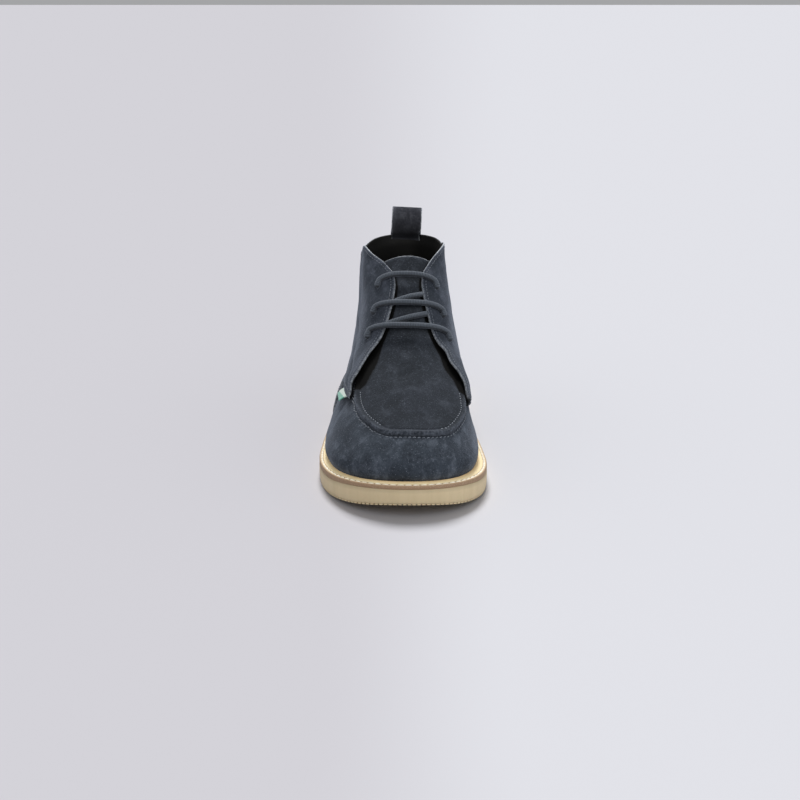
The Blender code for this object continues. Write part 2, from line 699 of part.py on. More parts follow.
def main():
    for obj in list(bpy.data.objects):
        bpy.data.objects.remove(obj)
    make_upper()
    make_tongue()
    make_sole()
    make_laces()
    make_pull_loop()
    make_label()
    centre_on_floor([obj for obj in bpy.data.objects if obj.type == "MESH"])


main()
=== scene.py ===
# %% [markdown]
# # A suede ankle boot, piece by piece
#
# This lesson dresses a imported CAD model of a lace-up ankle boot: a moccasin plug on the toe, open (derby) facings,
# a leather welt, a rubber sole and a pull loop. The CAD model gives every place and size. Here each of its plain
# solids is stood for by a finer piece with seams, stitches, a nap and a finish, in the same frame, in metres.

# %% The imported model
import json
from collections import namedtuple

import bmesh
import bpy
import numpy as np
from mathutils.bvhtree import BVHTree
from mathutils.kdtree import KDTree
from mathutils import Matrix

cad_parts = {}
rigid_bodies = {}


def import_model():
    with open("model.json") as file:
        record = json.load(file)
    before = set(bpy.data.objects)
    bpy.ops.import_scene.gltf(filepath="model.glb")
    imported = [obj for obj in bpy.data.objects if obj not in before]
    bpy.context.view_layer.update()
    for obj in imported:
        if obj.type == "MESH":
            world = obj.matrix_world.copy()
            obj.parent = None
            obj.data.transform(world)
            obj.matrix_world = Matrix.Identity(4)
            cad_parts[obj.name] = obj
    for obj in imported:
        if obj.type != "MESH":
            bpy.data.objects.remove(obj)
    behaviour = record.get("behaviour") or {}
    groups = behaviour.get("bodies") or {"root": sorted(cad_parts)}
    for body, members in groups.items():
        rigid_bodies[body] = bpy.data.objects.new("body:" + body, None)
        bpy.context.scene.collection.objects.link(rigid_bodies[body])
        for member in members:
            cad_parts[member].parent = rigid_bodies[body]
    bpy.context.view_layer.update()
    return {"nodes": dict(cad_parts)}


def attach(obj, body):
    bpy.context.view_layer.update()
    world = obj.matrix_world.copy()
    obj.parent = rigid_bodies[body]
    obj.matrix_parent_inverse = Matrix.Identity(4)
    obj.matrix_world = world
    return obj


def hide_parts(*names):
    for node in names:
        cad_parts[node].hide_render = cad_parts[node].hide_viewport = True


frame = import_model()
MM = 0.001
print("nodes:", ", ".join(sorted(frame["nodes"])))

# %% [markdown]
# ## The camera
#
# The camera stands in front of the toe and looks a little down on it, close enough for perspective to widen the toe
# against the collar. It comes first, because everything after it is judged through it.

# %% The camera
CAMERA_PLACE = (-0.0017, -0.850, 0.307)
CAMERA_PITCH = 18.2  # degrees below the horizon
CAMERA_LENS = 54.54  # mm, on a 36 mm sensor


def add(name, data):
    """A new object in the scene, at the origin, that shows the data."""
    obj = bpy.data.objects.new(name, data)
    bpy.context.scene.collection.objects.link(obj)
    return obj


def make_camera():
    data = bpy.data.cameras.new("camera")
    data.lens, data.sensor_width, data.clip_start = CAMERA_LENS, 36, 0.01
    camera = add("camera", data)
    camera.location = CAMERA_PLACE
    camera.rotation_euler = (np.radians(90 - CAMERA_PITCH), 0, 0)
    bpy.context.scene.camera = camera


make_camera()
print("camera at", CAMERA_PLACE)

# %% [markdown]
# ## The last
#
# A shoemaker shapes leather over a last, a solid foot. Every piece of this upper lies on the same last, so one
# function serves them all: a place around it, a ring up it and a lift off it give a point. The table is the one that
# the CAD model was made from. A sculpted mesh could hold the same shape, but pieces cut from one function fit.

# %% The last's rings, from the feather edge to the ankle, in mm
Ring = namedtuple(
    "Ring",
    "toe_y heel_y wide_lat_y wide_med_y half_lat half_med toe_power heel_power"
    " waist_lat waist_med toe_z heel_z mid_lift follow",
)
RINGS = (
    Ring(-140.5, 142.5, -68, -78, 49.6, 46.3, 2.35, 2.50, 0.10, 0.24, 20.0, 27, 0.0, 1.0),
    Ring(-142.4, 144.0, -70, -77, 51.3, 48.0, 2.38, 2.45, 0.09, 0.20, 27.0, 36, 0.0, 1.0),
    Ring(-141.2, 145.0, -64, -75, 48.5, 46.4, 2.32, 2.40, 0.08, 0.18, 33.5, 46, 0.0, 0.9),
    Ring(-135.0, 145.0, -56, -71, 44.2, 43.8, 2.28, 2.35, 0.07, 0.16, 39.5, 56, 0.0, 0.7),
    Ring(-123.0, 144.2, -44, -60, 39.6, 42.2, 2.22, 2.30, 0.05, 0.13, 45.0, 65, 0.0, 0.4),
    Ring(-104.0, 143.0, -20, -34, 36.8, 40.8, 2.08, 2.25, 0.02, 0.08, 50.5, 73, 0.0, 0.2),
    Ring(-80.0, 141.6, 5, -8, 34.4, 38.8, 2.00, 2.20, 0.00, 0.04, 57.5, 80, 0.0, 0.0),
    Ring(-53.0, 140.2, 35, 25, 32.8, 36.2, 2.00, 2.15, 0.00, 0.02, 66.0, 87, 0.0, 0.0),
    Ring(-29.0, 139.0, 58, 50, 31.8, 33.8, 2.00, 2.15, 0.00, 0.00, 78.0, 94, 0.0, 0.0),
    Ring(-8.0, 138.2, 68, 62, 31.0, 31.8, 2.00, 2.15, 0.00, 0.00, 92.0, 102, 0.5, 0.0),
    Ring(10.0, 137.6, 72, 68, 30.2, 29.8, 2.00, 2.15, 0.00, 0.00, 103.5, 111, 3.0, 0.0),
    Ring(25.0, 137.5, 74, 72, 29.4, 28.0, 2.00, 2.15, 0.00, 0.00, 114.0, 121, 7.0, 0.0),
    Ring(38.0, 137.5, 76, 76, 29.0, 27.4, 2.00, 2.15, 0.00, 0.00, 125.0, 131, 9.0, 0.0),
)
BOW, BOW_POWER = 3.0, 1.6  # toe and heel curve this far to the medial side, and how late they start to
WAIST_Y, WAIST_SPAN = 25.0, 52.0
SOLE_TOP = np.array(  # station along the sole, height
    [
        (-150, 20.6), (-120, 16.6), (-90, 14.4), (-60, 14.0), (-20, 15.6),
        (30, 20.2), (75, 24.4), (110, 26.2), (150, 27.2),
    ],
    float,
)
print(len(RINGS), "rings of the last")


# %% Curves through tables
def curve(knots, values, at):
    """A smooth curve through the values at the knots: cubic pieces, each slope a mean of its neighbours'."""
    knots, values, at = (np.asarray(item, float) for item in (knots, values, at))
    wide = (-1,) + (1,) * (values.ndim - 1)
    steps = np.diff(knots).reshape(wide)
    slopes = np.diff(values, axis=0) / steps
    mean = np.empty_like(values)
    mean[1:-1] = (slopes[:-1] * steps[1:] + slopes[1:] * steps[:-1]) / (steps[:-1] + steps[1:])
    mean[0], mean[-1] = slopes[0], slopes[-1]
    i = np.clip(np.searchsorted(knots, at, side="right") - 1, 0, len(knots) - 2)
    step = np.diff(knots)[i]
    s = ((at - knots[i]) / step).reshape(at.shape + (1,) * (values.ndim - 1))
    step = step.reshape(s.shape)
    rise = s * s * (3 - 2 * s)
    ends = (s**3 - 2 * s**2 + s) * step * mean[i] + (s**3 - s**2) * step * mean[i + 1]
    return (1 - rise) * values[i] + rise * values[i + 1] + ends


def smooth(value):
    """0 below 0, 1 above 1 and a soft step between."""
    value = np.clip(value, 0, 1)
    return value * value * (3 - 2 * value)


def hump(distance, width=1.0):
    """1 at no distance, falling softly to almost nothing at twice the width."""
    return np.exp(-((distance / width) ** 2))


def unit(vectors):
    return vectors / np.maximum(np.linalg.norm(vectors, axis=-1, keepdims=True), 1e-9)


def lengths(line):
    """How far along a line each of its points lies."""
    return np.concatenate([[0], np.cumsum(np.linalg.norm(np.diff(line, axis=0), axis=1))])


def spaced(line, count):
    """The same line with count points, evenly spaced."""
    along = lengths(line)
    at = np.linspace(0, along[-1], count)
    return np.stack([np.interp(at, along, column) for column in line.T], 1)


def sole_top(y):
    """Height of the sole's upper face, in millimetres."""
    return curve(*SOLE_TOP.T, np.clip(y, SOLE_TOP[0, 0], SOLE_TOP[-1, 0]))


print("the sole rises from", round(float(sole_top(-60)), 1), "to", round(float(sole_top(140)), 1), "mm")

# %% The last as a fine grid of points and normals
RING_STEP = 0.05
HALF_STEPS = 240


def ring_side(ring, sign):
    """One side of a ring, from the toe to the heel, evenly spaced."""
    wide_y = ring.wide_lat_y if sign < 0 else ring.wide_med_y
    half = ring.half_lat if sign < 0 else ring.half_med
    waist = ring.waist_lat if sign < 0 else ring.waist_med
    turn = np.linspace(0, np.pi / 2, 600)
    front, back = 2 / ring.toe_power, 2 / ring.heel_power
    toe_part = wide_y - (wide_y - ring.toe_y) * np.cos(turn) ** front
    heel_part = wide_y + (ring.heel_y - wide_y) * np.sin(turn[1:]) ** back
    y = np.concatenate([toe_part, heel_part])
    x = half * np.concatenate([np.sin(turn) ** front, np.cos(turn[1:]) ** back])
    x = x * (1 - waist * hump(y - WAIST_Y, WAIST_SPAN))
    middle = (ring.wide_lat_y + ring.wide_med_y) / 2
    to_toe = np.clip((middle - y) / (middle - ring.toe_y), 0, 1) ** BOW_POWER
    to_heel = np.clip((y - middle) / (ring.heel_y - middle), 0, 1) ** BOW_POWER
    x = sign * x + BOW * (to_toe + to_heel)
    back_share = (y - ring.toe_y) / (ring.heel_y - ring.toe_y)
    z = ring.toe_z + (ring.heel_z - ring.toe_z) * back_share
    z = z + ring.mid_lift * 4 * back_share * (1 - back_share)
    toe_top, heel_top = curve(*SOLE_TOP.T, np.array([ring.toe_y, ring.heel_y]))
    z = z + ring.follow * (curve(*SOLE_TOP.T, y) - toe_top * (1 - back_share) - heel_top * back_share)
    return spaced(np.stack([x, y, z], 1), HALF_STEPS + 1)


def make_last():
    levels = np.arange(0, len(RINGS) - 1 + RING_STEP / 2, RING_STEP)
    rows = [Ring(*row) for row in curve(np.arange(len(RINGS)), np.array(RINGS, float), levels)]
    points = np.stack([np.concatenate([ring_side(row, -1)[::-1], ring_side(row, 1)[1:]]) for row in rows])
    normals = np.cross(np.gradient(points, axis=1), np.gradient(points, axis=0))
    normals[:, 0] = normals[:, -1] = normals[:, 0] + normals[:, -1]
    return points, unit(normals)


LAST_POINTS, LAST_NORMALS = make_last()
print("last grid:", LAST_POINTS.shape)


# %% Reading the last between its grid points
def wrapped(around):
    """Places past the heel, brought back to -1..1."""
    return (np.asarray(around, float) + 1) % 2 - 1


def cubic_weights(s):
    """Catmull-Rom weights of four neighbours, so that a fine piece shows no facets of the grid."""
    return (
        (-(s**3) + 2 * s**2 - s) / 2,
        (3 * s**3 - 5 * s**2 + 2) / 2,
        (-3 * s**3 + 4 * s**2 + s) / 2,
        (s**3 - s**2) / 2,
    )


def read_last(field, around, ring):
    around, ring = np.broadcast_arrays(np.asarray(around, float), np.asarray(ring, float))
    column = (around + 1) * HALF_STEPS
    row = ring / RING_STEP
    turns = field.shape[1] - 1
    j = np.floor(column).astype(int)
    i = np.clip(np.floor(row).astype(int), 0, field.shape[0] - 2)
    value = 0
    for di, row_weight in enumerate(cubic_weights(row - i)):
        at_row = np.clip(i + di - 1, 0, field.shape[0] - 1)
        for dj, column_weight in enumerate(cubic_weights(column - j)):
            value = value + (row_weight * column_weight)[..., None] * field[at_row, (j + dj - 1) % turns]
    return value


def skin(around, ring, lift=0.0):
    """Points this far out of the last."""
    around, ring, lift = np.broadcast_arrays(wrapped(around), np.asarray(ring, float), np.asarray(lift, float))
    normal = unit(read_last(LAST_NORMALS, around, ring))
    return read_last(LAST_POINTS, around, ring) + normal * lift[..., None]


def rim(around, reach):
    """Outline of a sole layer: the feather edge moved out level by reach."""
    around = wrapped(around)
    flat = unit(read_last(LAST_NORMALS, around, 0 * around) * (1, 1, 0))
    return read_last(LAST_POINTS, around, 0 * around) + flat * np.broadcast_to(reach, around.shape)[..., None]


print("collar at the heel:", skin(1.0, 11.38).round(1))

# %% The frame's origin, under the middle of the sole's outline
SOLE_MARGIN = np.array(  # place around, how far the sole stands out there
    [
        (-1, 7.5), (-0.75, 7.2), (-0.45, 7.0), (-0.2, 8.4), (0, 9.5),
        (0.2, 9.8), (0.45, 7.2), (0.75, 7.0), (1, 7.5),
    ]
)


def sole_margin(around):
    return curve(*SOLE_MARGIN.T, wrapped(around))


def origin_shift():
    outline = rim(np.linspace(-1, 1, 2001), sole_margin(np.linspace(-1, 1, 2001)))
    middle = (outline.min(0) + outline.max(0)) / 2
    return np.array([middle[0], middle[1], 0])


LAST_POINTS -= origin_shift()

# %% [markdown]
# ## Meshes from sheets
#
# Leather is cut from sheets, so most pieces here are shells: an outer sheet, an inner sheet, and a rim between them
# that is rounded over, as a cut edge is. The same helper stores how near each point is to a raw edge, which the
# materials use to show the pale nap there. Solidify could give the thickness, but not walls that taper.

# %% Meshes, and grids of quads
GAP = 0.3  # mm between pieces that lie on each other
WELD = 0.000001  # m


def mesh_object(name, verts, faces, materials, slots=None, fields=None, uv=None):
    """An object whose mesh is in metres at the origin, with its finishes, point attributes and corner UVs."""
    mesh = bpy.data.meshes.new(name)
    mesh.from_pydata(np.asarray(verts) * MM, [], faces)
    for material in materials:
        mesh.materials.append(material)
    if slots is not None:
        mesh.polygons.foreach_set("material_index", np.asarray(slots, np.int32))
    for field, values in (fields or {}).items():
        data = mesh.attributes.new(field, "FLOAT", "POINT").data
        data.foreach_set("value", np.asarray(values, np.float32).ravel())
    if uv is not None:
        mesh.uv_layers.new(name="sheet").data.foreach_set("uv", np.asarray(uv, np.float32).ravel())
    solid = bmesh.new()
    solid.from_mesh(mesh)
    bmesh.ops.remove_doubles(solid, verts=solid.verts, dist=WELD)
    bmesh.ops.recalc_face_normals(solid, faces=solid.faces)
    solid.to_mesh(mesh)
    solid.free()
    mesh.shade_smooth()
    return add(name, mesh)


def quads(rows, columns):
    """The four corners of every cell of a grid of points."""
    place = np.arange(rows * columns).reshape(rows, columns)
    return np.stack([place[:-1, :-1], place[:-1, 1:], place[1:, 1:], place[1:, :-1]], -1).reshape(-1, 4)


def side_distances(points):
    """Distance over the sheet, in mm, of every grid point from each side."""
    up = np.linalg.norm(np.diff(points, axis=0), axis=-1)
    over = np.linalg.norm(np.diff(points, axis=1), axis=-1)
    low = np.concatenate([np.zeros((1, points.shape[1])), np.cumsum(up, 0)])
    left = np.concatenate([np.zeros((points.shape[0], 1)), np.cumsum(over, 1)], 1)
    return {"low": low, "high": low[-1:] - low, "left": left, "right": left[:, -1:] - left}


def border_of(rows, columns):
    """Grid places round a sheet, in order, and the name of the side each is on."""
    places = [(0, j, "low") for j in range(columns)]
    places += [(i, columns - 1, "right") for i in range(1, rows)]
    places += [(rows - 1, j, "high") for j in range(columns - 2, -1, -1)]
    return places + [(i, 0, "left") for i in range(rows - 2, 0, -1)]


print("a grid of 3 by 4 points has", len(quads(3, 4)), "cells and", len(border_of(3, 4)), "border points")

# %% A closed shell with a rounded rim
RIM_STEPS = 5
RIM_ROUND = 0.8  # 1 is a half circle
HIDDEN_FROM = 0.72  # shade above which a face loses its sheen


def shell(name, outer, inner, materials, raw=(), nap_width=1.3, shade=0.0, wear_and_highlight=0.0, turned=0.0):
    """A closed wall. Its materials are outside, inside, cut edge and, if given, the upright sides' cut edge.

    Raw sides get the cut edge and a pale nap. The wear argument adds brushed wear on the vamp and a painted highlight
    on the plug's ridge, and the shade argument is painted shade. Above the turned share, the rim's lower half is as
    the inside.
    """
    rows, columns = outer.shape[:2]
    count = rows * columns
    border = border_of(rows, columns)
    at = tuple(np.array([(i, j) for i, j, _ in border]).T)
    near = tuple(np.clip(index, 1, size - 2) for index, size in zip(at, (rows, columns)))
    top, low = outer[at], inner[at]
    away = unit((top + low) / 2 - (outer[near] + inner[near]) / 2)
    half = np.linalg.norm(top - low, axis=1, keepdims=True) / 2
    layers = []
    for turn in np.linspace(0, np.pi, RIM_STEPS + 2)[1:-1]:
        layers.append((top + low) / 2 + (top - low) / 2 * np.cos(turn) + away * half * RIM_ROUND * np.sin(turn))
    verts = np.concatenate([outer.reshape(-1, 3), inner.reshape(-1, 3), *layers])
    front = quads(rows, columns)
    back = front[:, [0, 3, 2, 1]] + count
    loops = [at[0] * columns + at[1]]
    loops += [2 * count + k * len(border) + np.arange(len(border)) for k in range(RIM_STEPS)]
    loops.append(loops[0] + count)
    pairs = zip(loops, loops[1:])
    band = np.concatenate([np.stack([p, q, np.roll(q, -1), np.roll(p, -1)], -1) for p, q in pairs])
    faces = np.concatenate([front, back, band])
    cut = [2 + (side in ("left", "right")) if side in raw else 0 for _, _, side in border]
    under = [1 if side in raw and i >= turned * rows else slot for (i, _, side), slot in zip(border, cut)]
    rim_slots = [cut if 2 * k <= RIM_STEPS else under for k in range(RIM_STEPS + 1)]
    slots = np.concatenate([np.full(len(front), 0), np.full(len(back), 1), *rim_slots])

    def on_all(grid, on_rim):
        """A value for every vertex: on both sheets, then on the rim."""
        sheets = grid.reshape(count, -1)
        return np.concatenate([sheets, sheets] + [np.reshape(on_rim, (len(border), -1))] * RIM_STEPS)

    away_mm = side_distances(outer)
    nap_and_highlight = wear_and_highlight + np.zeros((rows, columns))
    for side in raw:
        nap_and_highlight = np.maximum(nap_and_highlight, np.exp(-away_mm[side] / nap_width))
    shade = shade + 0 * nap_and_highlight
    fields = {"nap_and_highlight": on_all(nap_and_highlight, [float(side in raw) for _, _, side in border]), "shade": on_all(shade, shade[at])}
    share = np.stack(np.meshgrid(np.linspace(0, 1, columns), np.linspace(0, 1, rows)), -1)
    slots = np.minimum(slots, len(materials) - 1)
    return mesh_object(name, verts, faces.tolist(), materials, slots, fields, on_all(share, share[at])[faces])


def hide_faces(obj, finish):
    """The most shaded faces of the outside take a finish without sheen."""
    mesh = obj.data
    mesh.materials.append(finish)
    shade = np.zeros(len(mesh.vertices), np.float32)
    mesh.attributes["shade"].data.foreach_get("value", shade)
    for face in mesh.polygons:
        if face.material_index == 0 and shade[list(face.vertices)].mean() > HIDDEN_FROM:
            face.material_index = len(mesh.materials) - 1


print("a rim has", RIM_STEPS, "steps")

# %% [markdown]
# ## Finishes
#
# Suede is the flesh side of the hide, buffed to a nap. It scatters light at grazing angles (sheen), it is mottled
# where the nap lies one way or the other, and raw cut edges are paler. The cloud and the grain are noise in object
# coordinates at several scales, so nothing is painted by hand and nothing slides. Two numbers that the meshes store at
# their points add to it: one shows pale worn fibre, brushed wear and a painted highlight on the plug's ridge, the
# other is painted shade that darkens what lies deep under another piece.


# %% Helpers for node trees
def connect(tree, node, sockets):
    """Links sockets, named or numbered, to other nodes' or gives them a value."""
    for key, value in sockets.items():
        if isinstance(value, bpy.types.NodeSocket):
            tree.links.new(value, node.inputs[key])
        else:
            node.inputs[key].default_value = value


def put(tree, kind, sockets=None, **settings):
    """A new node with its properties set and its sockets connected."""
    node = tree.nodes.new(kind)
    for key, value in settings.items():
        setattr(node, key, value)
    connect(tree, node, sockets or {})
    return node


def noise(tree, vector, scale, detail=3.0, roughness=0.55, distortion=0.0):
    sockets = {"Scale": scale, "Detail": detail, "Roughness": roughness, "Distortion": distortion}
    return put(tree, "ShaderNodeTexNoise", {"Vector": vector, **sockets}).outputs["Fac"]


def remap(tree, value, low, high, to_low=0.0, to_high=1.0, kind="LINEAR"):
    sockets = {"Value": value, "From Min": low, "From Max": high, "To Min": to_low, "To Max": to_high}
    return put(tree, "ShaderNodeMapRange", sockets, interpolation_type=kind).outputs["Result"]


def mix(tree, factor, a, b):
    """Mixes two colours; a, b and factor are sockets or values."""
    a, b = (value if isinstance(value, bpy.types.NodeSocket) else (*value, 1) for value in (a, b))
    return put(tree, "ShaderNodeMix", {0: factor, 6: a, 7: b}, data_type="RGBA").outputs[2]


def maths(tree, operation, a, b=0.0):
    return put(tree, "ShaderNodeMath", {0: a, 1: b}, operation=operation).outputs[0]


def bump(tree, height, distance, strength=1.0, **under):
    sockets = {"Height": height, "Distance": distance, "Strength": strength, **under}
    return put(tree, "ShaderNodeBump", sockets).outputs["Normal"]


def place_vector(tree, scale=(1, 1, 1), move=(0, 0, 0)):
    """Object coordinates, moved and stretched."""
    place = put(tree, "ShaderNodeTexCoord").outputs["Object"]
    return put(tree, "ShaderNodeMapping", {"Vector": place, "Location": move, "Scale": scale}).outputs["Vector"]


def stored(tree, name):
    """A number that the mesh stores at its points."""
    return put(tree, "ShaderNodeAttribute", attribute_name=name).outputs["Fac"]


def parts_of(tree, vector):
    """The X, Y and Z of a vector."""
    return put(tree, "ShaderNodeSeparateXYZ", {0: vector}).outputs


def new_material(name):
    material = bpy.data.materials.new(name)
    material.use_nodes = True
    return material, material.node_tree


def dress(material, **values):
    """Connects the sockets of a material's shader. Their names are written with _ for a space."""
    tree = material.node_tree
    connect(tree, tree.nodes["Principled BSDF"], {key.replace("_", " "): value for key, value in values.items()})
    return material


def linear(*rgb):
    """A colour given as 0-255 sRGB, in the linear values that shaders take."""
    share = np.array(rgb) / 255
    return tuple(float(v) for v in np.where(share < 0.04045, share / 12.92, ((share + 0.055) / 1.055) ** 2.4))


def times(colour, factor):
    return tuple(factor * v for v in colour)


print("mid grey:", tuple(round(v, 3) for v in linear(128, 128, 128)))

# %% Suede
BLUE_SHEEN = (0.62, 0.70, 0.86, 1)


def suede(name, colours, sheen, move, brush):
    """Napped leather: deep and base are its two nap directions, pale is a raw edge or a stray fibre."""
    deep, base, pale = (linear(*rgb) for rgb in colours)
    material, tree = new_material(name)
    flat = place_vector(tree, move=move)
    cloud = noise(tree, flat, 38, 3, 0.5)
    brushed = noise(tree, place_vector(tree, (1, 0.7, 0.6), move), 115, 3, 0.55, 0.25)
    patch = noise(tree, flat, 480, 4, 0.7, 0.2)
    grain = noise(tree, flat, 1400, 3, 0.7)
    fleck = noise(tree, flat, 1900, 1, 0.5)
    lie = maths(tree, "ADD", maths(tree, "MULTIPLY", cloud, 0.35), maths(tree, "MULTIPLY", brushed, 0.40))
    lie = maths(tree, "ADD", lie, maths(tree, "MULTIPLY", patch, 0.25))
    # The stored nap number: pale fibre at raw edges, brushed wear, and a painted highlight on the plug's ridge.
    wear_and_highlight = maths(tree, "MULTIPLY", stored(tree, "nap_and_highlight"), remap(tree, patch, 0.36, 0.62, 0.0, 0.9))
    colour = mix(tree, remap(tree, lie, 0.40, 0.60), deep, base)
    for share, tone in (
        (remap(tree, brushed, 0.54, 0.72, 0, brush), pale),
        (remap(tree, patch, 0.58, 0.74, 0, 0.30), pale),
        (remap(tree, grain, 0.48, 0.30, 0, 0.45), times(deep, 0.45)),
        (remap(tree, fleck, 0.66, 0.75, 0, 0.65), times(pale, 1.6)),
        (wear_and_highlight, pale),
        # Painted shade: near black where the stored shade number is high.
        (stored(tree, "shade"), times(deep, 0.12)),
    ):
        colour = mix(tree, share, colour, tone)
    soft = bump(tree, patch, 0.0003, 0.6, Normal=bump(tree, brushed, 0.0012, 0.35))
    return dress(
        material, Base_Color=colour, Roughness=0.94, IOR=1.4, Sheen_Weight=sheen, Sheen_Roughness=0.42,
        Sheen_Tint=BLUE_SHEEN, Specular_IOR_Level=0.18, Normal=bump(tree, grain, 0.00016, 0.8, Normal=soft),
    )


SUEDES = {  # deep, base and pale colour, sheen, where the noise is read, strength of the brushed patches
    "quarter_suede": (((34, 39, 46), (52, 57, 66), (97, 103, 116)), 0.21, (3, 1, 2), 0.26),
    "vamp_suede": (((36, 41, 48), (57, 64, 73), (104, 111, 123)), 0.20, (1, 5, 3), 0.42),
    "plug_suede": (((26, 30, 35), (37, 41, 48), (86, 92, 102)), 0.17, (6, 2, 4), 0.16),
    "loop_suede": (((44, 45, 51), (68, 70, 77), (104, 106, 114)), 0.24, (2, 7, 1), 0.3),
    "raw_edge": (((60, 65, 72), (118, 124, 132), (196, 200, 206)), 0.3, (4, 4, 9), 0.4),
    # facing_edge is raw_edge made darker: painted shade on the facings' upright cut edges.
    "facing_edge": (((44, 48, 54), (78, 83, 90), (134, 139, 146)), 0.24, (4, 4, 9), 0.4),
    "shaded_suede": (((10, 11, 13), (13, 15, 17), (20, 22, 24)), 0.0, (6, 2, 4), 0.1),
}
QUARTER_SUEDE, VAMP_SUEDE, PLUG_SUEDE, LOOP_SUEDE, RAW_EDGE, FACING_EDGE, SHADED_SUEDE = (
    suede(name, *row) for name, row in SUEDES.items()
)
print("suedes:", ", ".join(SUEDES))


# %% Lining, insole and thread
def lining_leather(name, colour, pale):
    """Thin smooth lining leather with pores."""
    material, tree = new_material(name)
    pores, cloud = noise(tree, place_vector(tree), 1700, 3, 0.6), noise(tree, place_vector(tree), 70, 3)
    colour = mix(tree, remap(tree, cloud, 0.35, 0.7), linear(*colour), linear(*pale))
    rough, dents = remap(tree, pores, 0.3, 0.7, 0.55, 0.8), bump(tree, pores, 0.0001, 0.6)
    return dress(material, Base_Color=colour, Roughness=rough, Specular_IOR_Level=0.25, Normal=dents)


def thread(name, colour, dark):
    """Waxed sewing thread: a fine twist in a dull sheen."""
    material, tree = new_material(name)
    twist, tone = noise(tree, place_vector(tree), 5200, 2, 0.5), noise(tree, place_vector(tree), 300, 2)
    colour = mix(tree, remap(tree, tone, 0.35, 0.65), linear(*dark), linear(*colour))
    fine = bump(tree, twist, 0.00008, 0.8)
    return dress(material, Base_Color=colour, Roughness=0.6, Sheen_Weight=0.2, Normal=fine)


LINING = lining_leather("lining_leather", (5, 5, 5), (9, 9, 8))
SOCK = lining_leather("sock_leather", (24, 24, 25), (36, 35, 36))
DARK_THREAD = thread("dark_thread", (88, 95, 106), (62, 68, 78))
PALE_THREAD = thread("pale_thread", (138, 145, 156), (92, 100, 112))
MOC_THREAD = thread("moc_thread", (114, 121, 132), (72, 79, 90))
CREAM_THREAD = thread("cream_thread", (254, 250, 236), (238, 228, 202))
print("lining, sock and threads ready")

# %% [markdown]
# ## Stitches by Geometry Nodes
#
# A sewn row is the same small loop of thread again and again along a line. Geometry Nodes resample the line by the
# pitch, set one stitch at each point, lie it along the line and stand it up from the leather. The tree is made once,
# with its sizes as named inputs, and every seam of the boot uses it. The sole's tread shares most of its nodes.


# %% What the geometry trees share
SOCKET_KINDS = {"Lines": "Geometry", "Size": "Vector", "Seed": "Int", "Finish": "Material"}  # the others are numbers


def line_tree(name, sizes, seed):
    """A tree with lines, sizes, a seed and a finish as named inputs, and the sockets that give them."""
    tree = bpy.data.node_groups.new(name, "GeometryNodeTree")
    for socket, value in {"Lines": None, **sizes, "Seed": seed, "Finish": None}.items():
        kind = "NodeSocket" + SOCKET_KINDS.get(socket, "Float")
        made = tree.interface.new_socket(socket, in_out="INPUT", socket_type=kind)
        if value is not None:
            made.default_value = value
    tree.interface.new_socket("Pieces", in_out="OUTPUT", socket_type="NodeSocketGeometry")
    return tree, put(tree, "NodeGroupInput").outputs


def point(tree, **parts):
    """A vector; parts that aren't given are 0."""
    return put(tree, "ShaderNodeCombineXYZ", parts).outputs[0]


def stand(tree, first, second):
    """A rotation that lays X along the line and turns Z up. The first of the two axes is kept exactly."""
    up = put(tree, "GeometryNodeInputNamedAttribute", {"Name": "up"}, data_type="FLOAT_VECTOR")
    ways = {"X": put(tree, "GeometryNodeInputTangent").outputs[0], "Z": up.outputs["Attribute"]}
    sockets = {0: ways[first], 1: ways[second]}
    return put(tree, "FunctionNodeAxesToRotation", sockets, primary_axis=first, secondary_axis=second).outputs[0]


def chance(tree, given, least, most):
    """A random number for every piece, from the seed."""
    sockets = {2: least, 3: most, "Seed": given["Seed"]}
    return put(tree, "FunctionNodeRandomValue", sockets, data_type="FLOAT").outputs[1]


def set_out(tree, given, piece, **sockets):
    """Sets the piece at every pitch of the lines, and gives the made ones their finish."""
    lines = put(tree, "GeometryNodeMeshToCurve", {"Mesh": given["Lines"]}).outputs["Curve"]
    even = put(tree, "GeometryNodeResampleCurve", {"Curve": lines, "Length": given["Pitch"]}, mode="LENGTH")
    sockets = {"Points": even.outputs["Curve"], "Instance": piece, **sockets}
    spread = put(tree, "GeometryNodeInstanceOnPoints", sockets).outputs["Instances"]
    real = put(tree, "GeometryNodeRealizeInstances", {0: spread}).outputs[0]
    finish = put(tree, "GeometryNodeSetMaterial", {"Geometry": real, "Material": given["Finish"]})
    put(tree, "NodeGroupOutput", {"Pieces": finish.outputs[0]})
    return tree


print("inputs that are not plain numbers:", ", ".join(SOCKET_KINDS))

# %% The stitch tree
WANDER = 0.06  # how far a stitch may lie askew, in radians


